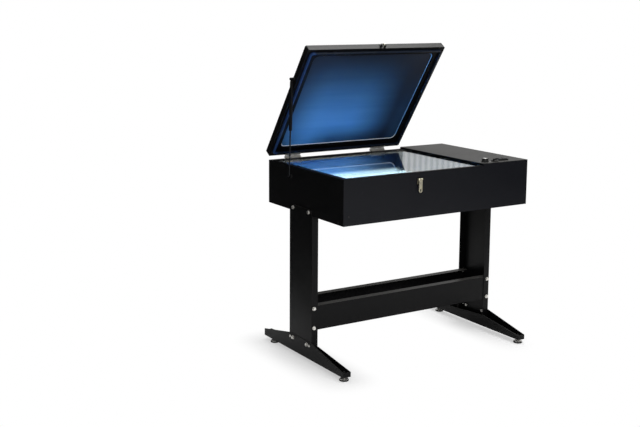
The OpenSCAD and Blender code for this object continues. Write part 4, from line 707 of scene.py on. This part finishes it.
(left, right), (near, far), (under, over) = lid_spread("lid_blanket")
sheet_w, sheet_l = right - left, far - near
bpy.ops.object.select_all(action="DESELECT")
bpy.ops.mesh.primitive_grid_add(x_subdivisions=64, y_subdivisions=52, size=1, location=(0, 0, 0))
sheet = bpy.context.object
sheet.name = "blanket_sheet"
sheet.scale = (sheet_w, sheet_l, 1)
bpy.ops.object.transform_apply(location=True, rotation=True, scale=True)
sag_steps, sag_step, sag_edge, sag_narrowing = 7, 0.0006, 0.46, 0.05
for i in range(sag_steps):
    inside = sag_edge - sag_narrowing * i
    for vertex in sheet.data.vertices:
        vertex.select = (
            abs(vertex.co.x) < inside * sheet_w and abs(vertex.co.y) < inside * sheet_l)
    bpy.ops.object.mode_set(mode="EDIT")
    bpy.ops.transform.translate(value=(0, 0, sag_step))
    bpy.ops.object.mode_set(mode="OBJECT")
bpy.ops.object.mode_set(mode="EDIT")
bpy.ops.mesh.select_all(action="SELECT")
bpy.ops.mesh.region_to_loop()
bpy.ops.mesh.select_all(action="INVERT")
bpy.ops.mesh.vertices_smooth(factor=0.5, repeat=12)
bpy.ops.object.mode_set(mode="OBJECT")
body = sheet.modifiers.new("body", "SOLIDIFY")
body.thickness = over - under
body.offset = -1
bpy.ops.object.modifier_apply(modifier="body")
bpy.ops.object.shade_smooth_by_angle(angle=crease)
lid_set(sheet, (left + right) / 2, (near + far) / 2, over)

blanket = Finish("blue_blanket", (0.03, 0.13, 0.35), 0.42, Specular_IOR_Level=0.13)
across, height = blanket.axis("X"), blanket.axis("Z")
# Painted lamp light: the colour is lifted to bright blue low down on the left and a little at the
# right, low down; elsewhere it stays deep blue.
low_middle = (1 - height.over(1.12, 1.24)) * across.over(-0.45, -0.2)
left_part = across.over(-0.66, -0.36) * (1 - across.over(-0.16, 0.2))
right_edge = across.over(0.12, 0.2) * (1 - height.over(1.2, 1.6))
painted_lamp_light = left_part * (1 - height.over(1.15, 1.66)) * (1 - 0.75 * low_middle) + 0.12 * right_edge
mottled = blanket.noise(6, 4)
streaked = blanket.noise(5, 3, 0.5, blanket.mapped((0.3, 1, 5)))
deep = blanket.blend(mottled, (0.006, 0.010, 0.02), (0.009, 0.015, 0.03))
lamp_lit_blue = blanket.blend(streaked, (0.06, 0.235, 0.54), (0.105, 0.34, 0.7))
blanket.feed("Base Color", blanket.blend(painted_lamp_light, deep, lamp_lit_blue))
blanket.feed("Roughness", 0.38 + mottled * 0.12)
print_x, print_z, print_half_w, print_half_h = -0.16, 1.4, 0.29, 0.22
off_x = (across - print_x).math("ABSOLUTE") / print_half_w
off_z = (height - print_z).math("ABSOLUTE") / print_half_h
outline = off_x.math("MAXIMUM", off_z)
groove = outline.over(0.96, 0.985) * (1 - outline.over(0.995, 1.02))
blanket.bump(blanket.noise(1100, 2) * 0.3 + groove, 0.12, 0.0003)
wear(sheet, blanket)
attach(sheet, "lid")
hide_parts("lid_blanket")
right - left
far - near


# Piping: a vinyl cord, 6 mm thick, tucked round the blanket's edge inside the lid's opening.
# Its colour is painted light: a pale reflection of the glass along the lid's foot, a blue
# reflection of the lamps' glow at the right, and painted shade, almost black, elsewhere.
(frame_left, frame_right), (frame_near, frame_far), _ = lid_spread("lid_frame")
side_wall, rear_wall, front_wall, inner_corner, cord_r = 0.053, 0.056, 0.043, 0.03, 0.003
cord_w = frame_right - frame_left - 2 * (side_wall + cord_r)
cord_l = frame_far - frame_near - rear_wall - front_wall - 2 * cord_r
bpy.ops.object.select_all(action="DESELECT")
bpy.ops.mesh.primitive_plane_add(size=1, location=(0, 0, 0))
piping = bpy.context.object
piping.name = "blanket_piping"
piping.scale = (cord_w, cord_l, 1)
bpy.ops.object.transform_apply(location=False, rotation=False, scale=True)
bpy.ops.object.mode_set(mode="EDIT")
bpy.ops.mesh.select_all(action="SELECT")
bpy.ops.mesh.bevel(offset=inner_corner - cord_r, segments=8, affect="VERTICES")
bpy.ops.mesh.select_all(action="SELECT")
bpy.ops.mesh.delete(type="ONLY_FACE")
bpy.ops.object.mode_set(mode="OBJECT")
bpy.ops.object.convert(target="CURVE")
piping.data.bevel_depth = cord_r
piping.data.bevel_resolution = 4
bpy.ops.object.convert(target="MESH")
bpy.ops.object.shade_smooth_by_angle(angle=math.radians(60))
lid_set(piping, (frame_left + frame_right) / 2,
        (frame_near + rear_wall + frame_far - front_wall) / 2, over + cord_r)

vinyl = Finish("vinyl_with_painted_light", (0.3, 0.5, 0.8), 0.25, Specular_IOR_Level=0.5)
dusty = vinyl.noise(25, 4)
clear = vinyl.blend(dusty, (0.12, 0.34, 0.75), (0.2, 0.4, 0.7))
sides = vinyl.blend(vinyl.axis("X").over(0.1, 0.2), (0.01, 0.02, 0.045), clear)
# Painted light: pale reflection along the lid's foot, blue reflection at the right, painted shade
# elsewhere.
vinyl.feed("Base Color", vinyl.blend(
    vinyl.axis("Z").over(1.13, 1.15), (0.8, 0.85, 0.9), sides))
vinyl.feed("Roughness", 0.18 + dusty * 0.15)
vinyl.bump(vinyl.noise(600, 2), 0.06, 0.0002)
wear(piping, vinyl)
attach(piping, "lid")


# Hinges: two zinc plated butt hinges, one leaf on the rear rim and one under the lid's edge, with
# three screws in each leaf and a headed pin.
for node, body in (("cabinet_hinge_leaves", "cabinet"), ("lid_hinge_leaves", "lid"),
                   ("hinge_pins", "cabinet")):
    fitted(node, body, zinc, fine_edge)


# Gas strut: a black tube with a dark, hard nitrided rod, an eye at each end and a stud on the
# cabinet and on the lid.
nitrided = Finish("nitrided_rod", (0.03, 0.032, 0.036), 0.22, 0.9)
drawn = nitrided.noise(120, 3, 0.5, nitrided.mapped((14, 14, 1)))
nitrided.feed("Base Color", nitrided.blend(drawn, (0.022, 0.024, 0.028), (0.05, 0.052, 0.056)))
nitrided.feed("Roughness", 0.15 + drawn * 0.15)
nitrided.bump(drawn, 0.05, 0.0001)
fitted("strut_rod", "strut_rod", nitrided, fine_edge)
fitted("strut_tube", "strut_tube", black_coat, 0.0008)
for node, body in (("strut_base_stud", "cabinet"), ("lid_strut_stud", "lid")):
    fitted(node, body, screw_coat, 0.0005)


# Latch: a yellow passivated hasp. Its strap hangs from a knuckle on the front panel and its slot
# passes over the turn staple on the lid's catch.
gilt = Finish("yellow_zinc", (0.5, 0.46, 0.33), 0.3, 1.0)
film = gilt.noise(55, 4)
gilt.feed("Base Color", gilt.blend(film.over(0.3, 0.75), (0.74, 0.69, 0.5), (0.5, 0.47, 0.38)))
gilt.feed("Roughness", 0.24 + film * 0.2)
gilt.bump(gilt.noise(800, 3), 0.15, 0.0002)
fitted("latch_base", "cabinet", gilt, fine_edge)
fitted("latch_strap", "latch_strap", gilt, 0.0005)
fitted("lid_catch", "lid", black_coat, 0.0005)
fitted("turn_staple", "turn_staple", gilt, fine_edge)
